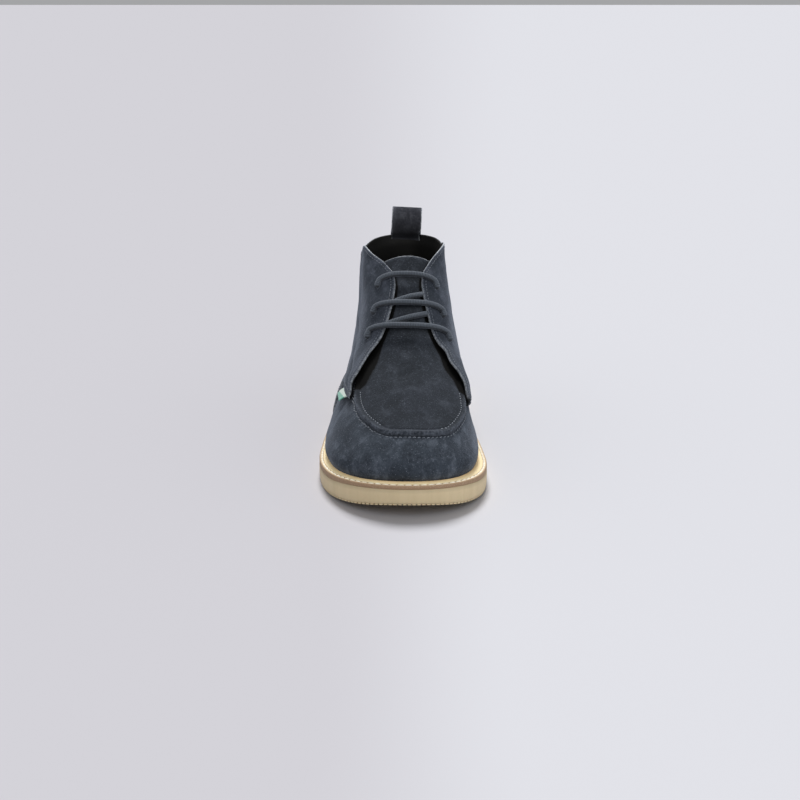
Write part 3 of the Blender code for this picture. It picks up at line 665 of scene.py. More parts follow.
def stitch_tree():
    sizes = {"Pitch": 0.003, "Length": 0.0024, "Thread": 0.0006, "Rise": 0.0004, "Slant": 0.0}
    tree, given = line_tree("stitch_rows", sizes, 7)

    def part_of(size, share):
        return maths(tree, "MULTIPLY", given[size], share)

    # One stitch: a low arch whose feet sink into the leather.
    sunk = part_of("Thread", -0.7)
    feet = {
        "Start": point(tree, X=part_of("Length", -0.5), Z=sunk),
        "Middle": point(tree, Z=part_of("Rise", 2)),
        "End": point(tree, X=part_of("Length", 0.5), Z=sunk),
    }
    arch = put(tree, "GeometryNodeCurveQuadraticBezier", {"Resolution": 4, **feet}).outputs["Curve"]
    circle = put(tree, "GeometryNodeCurvePrimitiveCircle", {"Resolution": 6, "Radius": part_of("Thread", 0.5)})
    sockets = {"Curve": arch, "Profile Curve": circle.outputs["Curve"], "Fill Caps": True}
    loop = put(tree, "GeometryNodeCurveToMesh", sockets).outputs["Mesh"]
    stitch = put(tree, "GeometryNodeSetShadeSmooth", {"Geometry": loop}).outputs[0]
    # It lies along the seam and stands out of the leather, turned by the slant.
    angle = maths(tree, "ADD", given["Slant"], chance(tree, given, -WANDER, WANDER))
    sockets = {0: stand(tree, "X", "Z"), 1: point(tree, Z=angle)}
    turned = put(tree, "FunctionNodeRotateRotation", sockets, rotation_space="LOCAL").outputs[0]
    return set_out(tree, given, stitch, Rotation=turned)


STITCH_TREE = stitch_tree()
print("stitch tree nodes:", len(STITCH_TREE.nodes))


# %% Sewing: lines with an up direction go in, a plain mesh comes out
def line_object(name, lines):
    """A mesh of polylines. Each line is (points, ups, closed), in millimetres."""
    points, ups, edges, start = [], [], [], 0
    for line_points, line_ups, closed in lines:
        count = len(line_points)
        points.append(line_points)
        ups.append(line_ups)
        edges += [(start + k, start + (k + 1) % count) for k in range(count if closed else count - 1)]
        start += count
    mesh = bpy.data.meshes.new(name)
    mesh.from_pydata(np.concatenate(points) * MM, edges, [])
    up = mesh.attributes.new("up", "FLOAT_VECTOR", "POINT")
    up.data.foreach_set("vector", unit(np.concatenate(ups)).astype(np.float32).ravel())
    return add(name, mesh)


def made_mesh(obj):
    """A plain copy of the mesh that an object's modifiers make."""
    return bpy.data.meshes.new_from_object(obj.evaluated_get(bpy.context.evaluated_depsgraph_get()))


def grow(name, lines, tree, values):
    """Runs a geometry tree on lines and returns its result as a plain mesh object."""
    source = line_object(name + "_lines", lines)
    modifier = source.modifiers.new("grow", "NODES")
    modifier.node_group = tree
    sockets = {item.name: item.identifier for item in tree.interface.items_tree if item.in_out == "INPUT"}
    for key, value in values.items():
        modifier[sockets[key]] = value
    mesh = made_mesh(source)
    bpy.data.objects.remove(source)
    mesh.name = name
    return add(name, mesh)


def sew(name, lines, finish, pitch, length, thick, rise=0.35, slant=0.0, seed=7):
    """Rows of stitches along the lines; sizes are in millimetres."""
    values = {"Pitch": pitch * MM, "Length": length * MM, "Thread": thick * MM, "Rise": rise * MM}
    obj = grow(name, lines, STITCH_TREE, {**values, "Slant": slant, "Seed": seed, "Finish": finish})
    print(name, len(obj.data.polygons), "faces")
    return obj


print("sewing ready")

# %% Lines on sheets, for seams
LINE_STEP = 0.5  # mm between the points of a sewing line


def even_line(points, step):
    """The same line with points evenly spaced by about step mm."""
    return spaced(points, max(int(lengths(points)[-1] / step), 2) + 1)


def nearest(points, line, step=0.15):
    """How far each point is from a line, in mm, and how far along the line its nearest place is."""
    fine = even_line(line, step)
    tree = KDTree(len(fine))
    for k, place in enumerate(fine):
        tree.insert(place, k)
    tree.balance()
    found = np.array([tree.find(place)[1:] for place in points.reshape(-1, 3)])
    return found[:, 1].reshape(points.shape[:-1]), found[:, 0].reshape(points.shape[:-1]) * step


def surface_of(sheet):
    return BVHTree.FromPolygons(sheet.reshape(-1, 3).tolist(), quads(*sheet.shape[:2]).tolist())


def on_surface(surface, points):
    """The nearest places on a sheet and the sheet's outward direction there."""
    found = [surface.find_nearest(place)[:2] for place in points]
    return np.array([item[0] for item in found]), np.array([item[1] for item in found])


def border(sheet, *parts):
    """Points along sides of a sheet, and points just inside them. A part is (side, from share, to share)."""
    lines = [], []
    for side, start, end in parts:
        for deep, line in zip((0, 3), lines):
            rows = {"low": sheet[deep], "high": sheet[-1 - deep], "left": sheet[:, deep], "right": sheet[:, -1 - deep]}
            at = np.linspace(start, end, 500) * (len(rows[side]) - 1)
            line.append(np.stack([np.interp(at, np.arange(len(rows[side])), column) for column in rows[side].T], 1))
    return tuple(np.concatenate(line) for line in lines)


def beside(sheet, inset, *parts, over=None):
    """The border's line, and the same line moved inset mm into the sheet. It is flat on over, or on the sheet."""
    line, inside = border(sheet, *parts)
    _, up = on_surface(over or surface_of(sheet), line)
    inward = unit(np.cross(up, unit(np.gradient(line, axis=0))))
    inward *= np.sign(((inside - line) * inward).sum())
    return line, line + inward * inset


def inset_row(sheet, inset, *parts, flat=None, over=None):
    """A sewing line on a sheet, inset mm from its border, measured on its flat form: (points, ups, closed)."""
    line, moved = beside(sheet if flat is None else flat, inset, *parts, over=over)
    if inset > LINE_STEP:  # round an inner corner the moved line folds over itself, and the fold is left out
        moved = moved[nearest(moved, line)[0] > inset * 0.94]
    return (*on_surface(surface_of(sheet), even_line(moved, LINE_STEP)), False)


print("a line of 10 mm in steps of 3:", len(even_line(np.array([[0.0, 0, 0], [10, 0, 0]]), 3)), "points")

# %% [markdown]
# ## Where the upper's pieces are cut
#
# The quarters wrap the heel and come forward as two facings, the open flaps of a derby. The vamp covers the toe's
# wall and runs back under them. The plug on top of the toe continues as the tongue. These outlines are the CAD
# model's, as places on the last, so that the dressed pieces fall on the plain ones.

# %% Outlines of quarters, vamp and plug
QUARTER_FRONT = np.array(  # ring, lateral, medial
    [
        (0.0, -0.468, 0.455), (1.4, -0.460, 0.448), (2.6, -0.440, 0.428), (3.4, -0.410, 0.398),
        (3.85, -0.398, 0.330), (4.04, -0.372, 0.250), (4.14, -0.352, 0.216), (4.28, -0.288, 0.200),
        (4.33, -0.242, 0.198), (4.43, -0.212, 0.196), (4.65, -0.199, 0.193), (4.9, -0.203, 0.195),
        (5.7, -0.186, 0.187), (6.4, -0.168, 0.161),
        (7.0, -0.141, 0.146), (7.6, -0.113, 0.114), (8.2, -0.086, 0.090), (8.9, -0.066, 0.076),
        (9.7, -0.056, 0.067), (10.4, -0.056, 0.066), (10.9, -0.070, 0.078),
    ]
)
TOPLINE = np.array(  # share of the way round from the medial facing, ring
    [
        (0.0, 10.90), (0.027, 11.42), (0.06, 11.76), (0.115, 11.92), (0.165, 11.60), (0.227, 11.26),
        (0.308, 11.14), (0.389, 11.20), (0.5, 11.38), (0.611, 11.12), (0.692, 10.90), (0.773, 10.90),
        (0.827, 11.18), (0.885, 11.82), (0.94, 11.54), (0.973, 11.32), (1.0, 10.90),
    ]
)
VAMP_TOP = np.array(  # place around, ring
    [
        (-0.53, 3.2), (-0.47, 4.3), (-0.36, 5.2), (-0.22, 5.6), (0, 5.6),
        (0.22, 5.6), (0.36, 5.2), (0.46, 4.3), (0.52, 3.2),
    ]
)
PLUG_SIDES = np.array(  # lateral place and ring, medial place and ring
    [
        (-0.100, 3.94, 0.092, 3.48), (-0.152, 4.20, 0.133, 3.76), (-0.194, 4.60, 0.182, 4.14),
        (-0.218, 5.20, 0.214, 4.90), (-0.212, 6.00, 0.210, 6.00), (-0.165, 7.00, 0.170, 7.00),
        (-0.142, 8.00, 0.144, 8.00), (-0.152, 9.30, 0.154, 9.30), (-0.170, 10.60, 0.172, 10.60),
        (-0.156, 11.15, 0.160, 11.15),
    ]
)
PLUG_FRONT = np.array([(-0.100, 3.94), (-0.050, 3.67), (0.000, 3.71), (0.050, 3.59), (0.092, 3.48)])
FACING_TOP = TOPLINE[0, 1]
EYELETS = {  # lateral place and ring, medial place and ring, and how far the lace arches up between them
    "lower": (-0.174, 7.60, 0.186, 7.42, 0.90),
    "middle": (-0.142, 8.76, 0.158, 8.60, 0.62),
    "upper": (-0.134, 10.02, 0.136, 9.92, 0.80),
}


def quarter_front(ring):
    return np.moveaxis(curve(QUARTER_FRONT[:, 0], QUARTER_FRONT[:, 1:], ring), -1, 0)


def behind_front(around, ring):
    """How far a place lies behind the front edge of its facing."""
    lateral, medial = quarter_front(np.clip(ring, 0, FACING_TOP))
    return np.where(around < 0, lateral - around, around - medial)


def vamp_top(around):
    return curve(*VAMP_TOP.T, around)


def plug_edge(ring):
    return np.interp(ring, *PLUG_SIDES[:, 1::-1].T), np.interp(ring, *PLUG_SIDES[:, :1:-1].T)


print("facings at the top:", np.round(quarter_front(10.9), 3))

# %% Thicknesses, and how far the quarters stand off the last
VAMP_WALL, TONGUE_WALL = 2.0, 1.6
FLAP_WALL, QUARTER_WALL = 2.4, 3.0
TONGUE_TOP = VAMP_WALL + GAP + TONGUE_WALL
LACE_ROOM = 1.05  # between tongue and flap, for the flattened lace
LACE_RADIUS = 2.05
FLAP_TOP = TONGUE_TOP + LACE_ROOM + FLAP_WALL
FLAP_CURL = 3.0  # how far the facings stand up below the lace
TOUCH = 0.06  # mm of air between the quarters and what they lie on


def quarter_lifts(around, ring):
    """(inner, outer) lift of the quarters: over the foot, over the vamp's wings and over the tongue."""
    wing_end = np.where(around < 0, -VAMP_TOP[0, 0], VAMP_TOP[-1, 0])
    on_vamp = smooth((wing_end - 0.01 - abs(around)) / 0.09) * smooth((vamp_top(around) - ring) / 1.3)
    lateral, medial = plug_edge(ring)
    edge = np.where(around < 0, -lateral, medial)
    upper_part = smooth((ring - 5.0) / 3.0)
    clear, fade = 0.012 + 0.018 * upper_part, 0.06 + 0.145 * upper_part
    over_tongue = smooth((edge + clear + fade - abs(around)) / fade) * smooth((ring - 4.0) / 0.4)
    inner = np.maximum((VAMP_WALL + TOUCH) * on_vamp, (TONGUE_TOP + LACE_ROOM) * over_tongue)
    behind = behind_front(around, ring)
    curl = smooth((ring - 4.3) / 1.0) * smooth((7.9 - ring) / 1.2) * hump(behind, 0.042)
    inner = inner + TOUCH * (1 - on_vamp) + FLAP_CURL * np.where(around < 0, 1, 0.7) * curl
    wall = FLAP_WALL + (QUARTER_WALL - FLAP_WALL) * smooth(behind / 0.2)
    return inner, inner + wall - (GAP + TOUCH) * on_vamp * (1 - over_tongue)


print("a flap's top stands", FLAP_TOP, "mm off the last")

# %% [markdown]
# ## The vamp
#
# The vamp is lasted: wetted, pulled over the toe and nailed under. That leaves a soft belly in the wall and small
# puckers where the plug is sewn on. They are added here as height over the last, so the surface stays one smooth
# sheet. Sculpting them would be freer, but a formula spaces the puckers evenly, at about the stitches' pitch.

# %% The plug's sheet, which the vamp's seam follows
PLUG_COLUMNS, PLUG_ROWS = 141, 281
PLUG_CROWD, TOE_CROWD = 0.085, 1.3  # how closely its columns crowd to its sides and its rows to the toe
PLUG_SCALE = (250, 14)  # about how many mm a whole place around and a ring are there
TONGUE_CROWN = 0.85  # how far the tongue's end is rounded up, in rings
RIDGE_WIDTH = 5.2  # from the plug's edge to the inner row of stitches
RIDGE_RISE = 1.15
EDGE_DROP = 1.0  # how far the sewn edge is pulled down
MOC_PITCH = 3.1  # between the puckers of the plug's seam


def coons(left, right, low, high, columns, rows):
    """A grid of places between four edge curves that meet at their corners."""
    u, v = columns[None, :, None], rows[:, None, None]
    low, high, left, right = low[None], high[None], left[:, None], right[:, None]
    low_corners = (1 - u) * low[:, :1] + u * low[:, -1:]
    high_corners = (1 - u) * high[:, :1] + u * high[:, -1:]
    return (1 - v) * low + v * high + (1 - u) * left + u * right - (1 - v) * low_corners - v * high_corners


def crowded(count, amount):
    """Shares from 0 to 1 that lie closer together towards both ends."""
    even = np.linspace(0, 1, count)
    return even - amount * np.sin(2 * np.pi * even)


def plug_places(columns, rows):
    """(around, ring) over the plug and the tongue."""
    knots = lengths(PLUG_SIDES[:, :2] * PLUG_SCALE)
    sides = curve(knots / knots[-1], PLUG_SIDES, rows)
    low = curve(np.linspace(0, 1, len(PLUG_FRONT)), PLUG_FRONT, columns)
    crown = TONGUE_CROWN * 4 * columns * (1 - columns)
    high = np.stack([np.interp(columns, [0, 1], PLUG_SIDES[-1, [0, 2]]), PLUG_SIDES[-1, 1] + crown], 1)
    places = coons(sides[:, :2], sides[:, 2:], low, high, columns, rows)
    return places[..., 0], places[..., 1]


plug_rows = np.linspace(0, 1, PLUG_ROWS) ** TOE_CROWD
plug_around, plug_ring = plug_places(crowded(PLUG_COLUMNS, PLUG_CROWD), plug_rows)
plug_flat = skin(plug_around, plug_ring, TONGUE_TOP)
MOC_PARTS = (("left", 0.40, 0), ("low", 0, 1), ("right", 0, 0.40))
moc_line = border(plug_flat, *MOC_PARTS)[0]
print("the plug's seam is", round(float(lengths(moc_line)[-1])), "mm long")

# %% The vamp
VAMP_COLUMNS, VAMP_ROWS = 321, 66
SEAT = 0.05  # mm between the upper and the welt it stands on
PUCKER, BELLY = 0.24, 0.55  # how far the leather swells between the stitches and over the toe
BRUSHED_PLACES = ((0.20, 2.0, 0.07, 1.3, 0.34), (-0.075, 1.2, 0.03, 0.5, 0.30), (0.045, 2.1, 0.05, 0.4, 0.22))
DENTS = ((-0.13, 2.3, 0.05, 0.9, -0.45), (0.10, 2.0, 0.06, 0.8, -0.35))


def patches(around, ring, table):
    """Soft spots on the last. A row is place, ring, the spread of each, and strength."""
    return sum(row[4] * hump(around - row[0], row[2]) * hump(ring - row[1], row[3]) for row in table)


def seated(sheet, around, lift):
    """The lowest row set flat on the welt."""
    base = rim(around, lift)
    base[..., 2] = sole_top(base[..., 1]) + SEAT
    sheet[0] = base
    return sheet


def make_vamp():
    around = np.linspace(VAMP_TOP[0, 0], VAMP_TOP[-1, 0], VAMP_COLUMNS)[None, :] + np.zeros((VAMP_ROWS, 1))
    ring = np.linspace(0, 1, VAMP_ROWS)[:, None] * vamp_top(around)
    flat = skin(around, ring, VAMP_WALL)
    off, along = nearest(flat, moc_line)
    pucker = PUCKER * np.cos(2 * np.pi * along / MOC_PITCH) * hump(off - 1.5, 3.0)
    trough = 0.25 * hump(off - 3.5, 2.6) - 0.75 * hump(off)
    belly = BELLY * hump(ring - 1.5, 1.1) * hump(around, 0.30)
    waves = 0.14 * np.sin(41 * around + 1.7 * ring) + 0.11 * np.sin(67 * around - 2.3 * ring + 1)
    height = pucker + trough + patches(around, ring, DENTS) + waves * smooth((off - 4) / 6) + belly
    outer = seated(skin(around, ring, VAMP_WALL + height * smooth(ring / 0.6)), around[0], VAMP_WALL)
    inner = seated(skin(around, ring, 0.0), around[0], 0.0)
    # Painted shade under the lateral flap's tip and the label, and along the welt at the front of the toe.
    under_flap = smooth((ring - 3.3) / 1.1) * smooth((-0.15 - around) / 0.07) * smooth((around + 0.42) / 0.06)
    at_welt = (1 - smooth(ring / 0.5)) * hump(around, 0.16)
    shade, wear_and_highlight = 0.7 * under_flap + 0.75 * at_welt, patches(around, ring, BRUSHED_PLACES)
    obj = shell("vamp", outer, inner, [VAMP_SUEDE, LINING, RAW_EDGE], shade=shade, wear_and_highlight=wear_and_highlight)
    return obj, surface_of(outer), surface_of(flat)


vamp, vamp_surface, vamp_plain = make_vamp()
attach(vamp, "root")
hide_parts("upper")
print("vamp:", len(vamp.data.polygons), "faces")

# %% [markdown]
# ## The plug and the tongue
#
# A moccasin plug is sewn to the vamp over a padded edge, which leaves a rounded ridge between two rows of stitches.
# The ridge is a profile over the distance from the edge, so it follows the outline by itself. Behind the seam the
# same leather runs on as the tongue, flat and soft under the lace.


# %% The plug and the tongue
def plug_height(off, along, ring):
    """Rise of the plug's outer face: a ridge at the sewn edge, a groove inside it, then the plain leather."""
    ridge = RIDGE_RISE * smooth(off / 1.8) * (1 - smooth((off - 1.8) / (RIDGE_WIDTH - 1.8)))
    pinch = 0.5 + 0.5 * np.cos(2 * np.pi * along / MOC_PITCH + 2.2 * np.sin(along / 9))
    ridge = ridge - EDGE_DROP * hump(off, 0.95) - 0.22 * pinch * hump(off, 1.1)
    ridge = ridge * (1 - smooth((off - RIDGE_WIDTH) / 2.5))
    groove = -0.25 * hump(off - RIDGE_WIDTH, 0.8)
    return (ridge + groove) * (1 - smooth((ring - 5.2) / 0.9))


def make_plug():
    around, ring = plug_around, plug_ring
    off, along = nearest(plug_flat, moc_line)
    belly = 0.8 * (0.25 * np.sin(23 * around + 0.9 * ring) + 0.2 * np.sin(2.6 * ring + 9 * around))
    creases = -0.30 * hump(ring - 6.7 - 5 * around, 0.12) - 0.25 * hump(ring - 7.6 + 4 * around, 0.14)
    creases = creases * (1 - smooth(abs(around) / 0.14))
    free = smooth((off - RIDGE_WIDTH) / 6) * (1 - smooth(ring - 9.5))
    outer = skin(around, ring, TONGUE_TOP + plug_height(off, along, ring) + (belly + creases) * free)
    inner = skin(around, ring, VAMP_WALL + 0.05 + 0.25 * smooth(ring - 6))
    # The throat's walls shade the leather beside them, most where the facings curl up on the outer side.
    flap_end = np.where(around < 0, 4.72, 4.62)
    wide = smooth((ring - flap_end) / 0.9) * smooth((7.9 - ring) / 1.6)
    reach = 0.014 * smooth((ring - flap_end) / 0.5) + np.where(around < 0, 0.036, 0.014) * wide + 0.001
    shade = smooth(2.6 * (1 + behind_front(around, ring) / reach)) * smooth((ring - flap_end + 0.1) / 0.3)
    shade = 0.95 * shade * (1 - smooth((ring - 10.5) / 0.6))
    # Painted highlight along the sewn ridge, added to the pale nap number.
    painted_ridge_highlight = 0.88 * hump(off - 1.4, 1.25) * (1 - smooth((ring - 4.4) / 0.8))
    finishes = [PLUG_SUEDE, LINING, RAW_EDGE]
    obj = shell("plug_and_tongue", outer, inner, finishes, raw=("high",), nap_width=0.9, shade=shade, wear_and_highlight=painted_ridge_highlight)
    hide_faces(obj, SHADED_SUEDE)
    return obj, outer


plug, plug_outer = make_plug()
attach(plug, "root")
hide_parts("plug_tongue")
print("plug and tongue:", len(plug.data.polygons), "faces")

# %% The plug's two rows of stitches
OUTER_ROW = 0.95  # mm beyond the plug's edge
INNER_PARTS = ((("left", 0.305, 0), ("low", 0, 0.20)), (("low", 0.84, 1), ("right", 0, 0.35)))


def vamp_row(out):
    """A row on the vamp, out mm beyond the plug's edge."""
    _, moved = beside(plug_flat, -out, *MOC_PARTS, over=vamp_plain)
    return (*on_surface(vamp_surface, even_line(moved, LINE_STEP)), False)


inner_rows = [inset_row(plug_outer, RIDGE_WIDTH, *parts, flat=plug_flat, over=vamp_plain) for parts in INNER_PARTS]
plug_seam = sew("plug_stitches", [vamp_row(OUTER_ROW)], MOC_THREAD, 3.0, 1.8, 0.7, 0.35, slant=0.25)
plug_inner_seam = sew("plug_inner_stitches", inner_rows, PALE_THREAD, 2.8, 1.4, 0.6, 0.3)
for piece in (plug_seam, plug_inner_seam):
    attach(piece, "root")

# %% [markdown]
# ## The quarters
#
# Both quarters are one sheet here, from the medial facing round the heel to the lateral one, with the back seam as a
# crease. The facings lie over the tongue and stay open in front, their cut edges left raw and pale. Each eyelet is a
# plain punched hole, cut with a Boolean, because a hole through a thick wall needs a wall of its own.

# %% Eyelet holes
HOLE_RADIUS, HOLE_DEPTH, HOLE_SIDES = 2.3, 9.0, 28


def eyelet_points(lift):
    """Each eyelet's middle at a lift, and the direction out of the leather."""
    table = np.array(list(EYELETS.values()))
    around = np.concatenate([table[:, 0], table[:, 2]])
    ring = np.concatenate([table[:, 1], table[:, 3]])
    return skin(around, ring, lift), unit(skin(around, ring, 1.0) - skin(around, ring, 0.0))


def stack(loops, wrap=False):
    """Points of closed loops of one size, and the faces between them."""
    here = np.arange(len(loops[0]))
    faces = []
    for k in range(len(loops) if wrap else len(loops) - 1):
        low, high = k * len(here) + here, (k + 1) % len(loops) * len(here) + here
        faces.append(np.stack([low, np.roll(low, -1), np.roll(high, -1), high], 1))
    return np.concatenate(loops), np.concatenate(faces)


def punch(obj):
    """Cuts a round hole through obj at every eyelet."""
    middles, ways = eyelet_points(FLAP_TOP - 2)
    turn = np.linspace(0, 2 * np.pi, HOLE_SIDES, endpoint=False)[:, None]
    verts, faces = [], []
    for k, (middle, way) in enumerate(zip(middles, ways)):
        side = unit(np.cross(way, (0, 0, 1)))
        circle = middle + HOLE_RADIUS * (np.cos(turn) * side + np.sin(turn) * np.cross(way, side))
        ends, wall = stack([circle - way * HOLE_DEPTH / 2, circle + way * HOLE_DEPTH / 2])
        low = np.arange(HOLE_SIDES) + k * len(ends)
        verts.append(ends)
        faces += (wall + k * len(ends)).tolist() + [low[::-1].tolist(), (low + HOLE_SIDES).tolist()]
    cutter = mesh_object("punch", np.concatenate(verts), faces, [RAW_EDGE])
    cut = obj.modifiers.new("holes", "BOOLEAN")
    cut.operation, cut.solver, cut.object = "DIFFERENCE", "EXACT", cutter
    mesh = made_mesh(obj)
    obj.modifiers.remove(cut)
    obj.data = mesh
    bpy.data.objects.remove(cutter)


print("eyelets:", len(eyelet_points(0)[0]))

# %% The quarters' sheet
QUARTER_COLUMNS, QUARTER_ROWS = 341, 106
QUARTER_CROWD = 0.115  # how closely its columns crowd to the front edges
QUARTER_SCALE = (240, 10)  # about how many mm a whole place around and a ring are at the front edge
EVEN_BY = 0.16  # share of the way round behind which the rows are evenly spread
SKIVED_FROM, SKIVE = 0.93, 1.1  # share of the height above which the wall thins, and by how many mm at the collar
DIMPLE, DIMPLE_WIDTH = 0.45, 3.2  # how deep and wide the leather is pulled in round a hole
SEAM_SCALE = 190  # mm that a whole half of the way round is taken as, near the back seam
ANKLE_CREASES = (  # place, ring, slope, the spread across and along, depth
    (0.42, 8.0, 6, 0.28, 0.11, 0.55), (0.5, 7.0, 4, 0.3, 0.1, 0.45),
)


def quarter_places(columns, rows):
    """(around, ring), from the medial front edge round the heel; rows close together where the edge turns."""
    edge = np.linspace(0, QUARTER_FRONT[-1, 0], 2000)
    along = lengths(np.stack([quarter_front(edge)[0], edge], 1) * QUARTER_SCALE)
    at_front = np.interp(rows, along / along[-1], edge) / QUARTER_FRONT[-1, 0]
    spread = smooth(np.minimum(columns, 1 - columns) / EVEN_BY)
    share = at_front[:, None] * (1 - spread) + rows[:, None] * spread
    ring = share * curve(*TOPLINE.T, columns)[None, :]
    lateral, medial = quarter_front(at_front * FACING_TOP)
    around = medial[:, None] + columns[None, :] * (2 + lateral - medial)[:, None]
    return wrapped(around), ring


def quarter_dress(around, ring):
    """Small rises and creases of the quarters' outer face."""
    behind = (1 - abs(around)) * SEAM_SCALE
    back_seam = 0.22 * hump(behind - 2.2, 1.4) - 0.55 * hump(behind, 0.8)
    bulk = 0.22 * np.sin(19 * around + 1.1 * ring) + 0.16 * np.sin(31 * around - 1.6 * ring + 2)
    for place, middle, slope, across, along, depth in ANKLE_CREASES:
        off = abs(around) - place
        bulk = bulk - depth * hump(ring - middle - slope * off, across) * hump(off, along)
    calm = smooth((ring - 0.3) / 1.2) * smooth((FACING_TOP - ring) / 0.8)
    return bulk * calm + back_seam * smooth(ring / 0.4)


def make_quarters():
    columns, rows = crowded(QUARTER_COLUMNS, QUARTER_CROWD), np.linspace(0, 1, QUARTER_ROWS)
    around, ring = quarter_places(columns, rows)
    low, high = quarter_lifts(around, ring)
    skived = smooth((rows - SKIVED_FROM) / (1 - SKIVED_FROM))[:, None]
    low = low + SKIVE * skived * smooth(np.minimum(columns, 1 - columns) / 0.05)
    outer = skin(around, ring, high + quarter_dress(around, ring))
    for middle in eyelet_points(FLAP_TOP)[0]:
        off = np.linalg.norm(outer - middle, axis=-1)
        outer -= DIMPLE * hump(off, DIMPLE_WIDTH)[..., None] * unit(outer - skin(around, ring, low))
    inner = seated(skin(around, ring, low), around[0], low[0])
    outer = seated(outer, around[0], high[0])
    # Painted shade on the medial facing's front edge near its lower tip.
    painted_tip_shade = 0.9 * hump(columns, 0.008)[None, :] * smooth((ring - 3.9) / 0.2) * smooth((4.75 - ring) / 0.4)
    finishes, raw = [QUARTER_SUEDE, LINING, RAW_EDGE, FACING_EDGE], ("left", "right", "high")
    return shell("quarters", outer, inner, finishes, raw=raw, nap_width=0.7, shade=painted_tip_shade, turned=0.47), outer


quarters, quarter_outer = make_quarters()
punch(quarters)
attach(quarters, "root")
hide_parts("upper")
print("quarters:", len(quarters.data.polygons), "faces")

# %% Seams of the quarters
BACK_ROW = 0.0115  # how far from the back seam its two rows run, as a place around
edge_rows = [inset_row(quarter_outer, 2.6, (side, 0.14, 0.985)) for side in ("left", "right")]
collar_row = inset_row(quarter_outer, 2.3, ("high", 0.006, 0.994))
ticks = [inset_row(quarter_outer, 0.25, (side, 0.42, 1)) for side in ("left", "right")]


def back_rows():
    """Two lines down the heel, either side of the back seam."""
    ring = np.linspace(0.3, 10.9, 120)
    lines = []
    for around in (BACK_ROW - 1, 1 - BACK_ROW):
        places = np.full_like(ring, around)
        high = quarter_lifts(places, ring)[1] + quarter_dress(places, ring)
        lines.append((skin(places, ring, high), skin(places, ring, high + 1) - skin(places, ring, high), False))
    return lines


front_seam = sew("facing_stitches", edge_rows, DARK_THREAD, 2.7, 1.9, 0.55, 0.25)
collar_seam = sew("collar_stitches", [collar_row], DARK_THREAD, 2.7, 1.9, 0.5, 0.25)
edge_ticks = sew("edge_ticks", ticks, DARK_THREAD, 2.1, 1.5, 0.5, 0.2, slant=1.35, seed=3)
back_seam = sew("back_seam_stitches", back_rows(), DARK_THREAD, 2.8, 2.0, 0.55, 0.25)
for piece in (front_seam, collar_seam, edge_ticks, back_seam):
    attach(piece, "root")

# %% [markdown]
# ## The lace
#
# One round woven cord runs through all six holes: three bars over the facings, and two runs that cross under them and
# show in the throat. Under the leather it is pressed flat. Both hidden ends stop at the top eyelets. The weave is a
# pattern over the cord's own length and girth, so it follows every bend.

# %% A cord along a path
GIRTH = 16  # points round the cord
TIP = 0.8  # mm that its ends stand out


def cord_sides(ways, normals):
    """The direction of the cord's wide side at every point, steady through the holes."""
    raw = np.cross(ways, normals)
    sides = [unit(raw[0])]
    for way, side in zip(ways[1:], raw[1:]):
        last = sides[-1]
        strong = smooth((np.linalg.norm(side) - 0.25) / 0.35)
        side = unit(side) * np.sign(np.dot(side, last) or 1)
        wanted = side * strong + last * (1 - strong)
        sides.append(unit(wanted - way * np.dot(wanted, way)))
    sides = np.array(sides)
    soft = sum(np.roll(sides, k, axis=0) for k in range(-3, 4))
    soft[:3], soft[-3:] = sides[:3], sides[-3:]
    return unit(soft - ways * (soft * ways).sum(-1, keepdims=True))


def tube(name, centres, normals, wide, thick, material):
    """A closed cord with an oval section; its UVs are the share of its girth and its length in mm."""
    ways = unit(np.gradient(centres, axis=0))
    sides = cord_sides(ways, normals)
    turn = np.linspace(0, 2 * np.pi, GIRTH, endpoint=False)[:, None]
    out = sides[:, None] * np.cos(turn) * wide[:, None, None]
    out = out + np.cross(sides, ways)[:, None] * np.sin(turn) * thick[:, None, None]
    verts, faces = stack(centres[:, None] + out)
    tips = centres[[0, -1]] + ways[[0, -1]] * [[-TIP], [TIP]]
    near, count = np.arange(GIRTH), len(verts)
    far = np.roll(near, -1)
    first = np.stack([0 * near + count, far, near], 1)
    last = np.stack([0 * near + count + 1, near + count - GIRTH, far + count - GIRTH], 1)
    along, share = lengths(centres), np.arange(GIRTH + 1) / GIRTH
    u = np.stack([share[:-1], share[1:], share[1:], share[:-1]], -1)[None]
    v = np.stack([along[:-1], along[:-1], along[1:], along[1:]], -1)[:, None]
    uv = np.stack(np.broadcast_arrays(u, v), -1).reshape(-1, 2)
    ends = np.repeat([[0, 0], [0, along[-1]]], 3 * GIRTH, axis=0)
    # Painted shade on the cord's underside, stored as shade.
    shade = np.append(smooth((0.35 - unit(out)[..., 2]) / 0.9), [0.5, 0.5])  # dark on the underside
    faces, verts = faces.tolist() + first.tolist() + last.tolist(), np.concatenate([verts, tips])
    return mesh_object(name, verts, faces, [material], None, {"shade": shade}, np.concatenate([uv, ends])), along[-1]


print("a cord has", GIRTH, "points round it")


# %% The lace's weave
BRAID_YARNS, BRAID_PITCH = 7, 2.2  # pairs of yarns round the cord, and the mm after which they cross again


def sheet_parts(tree):
    """The X and Y of a piece's own UVs."""
    return parts_of(tree, put(tree, "ShaderNodeUVMap", uv_map="sheet").outputs["UV"])


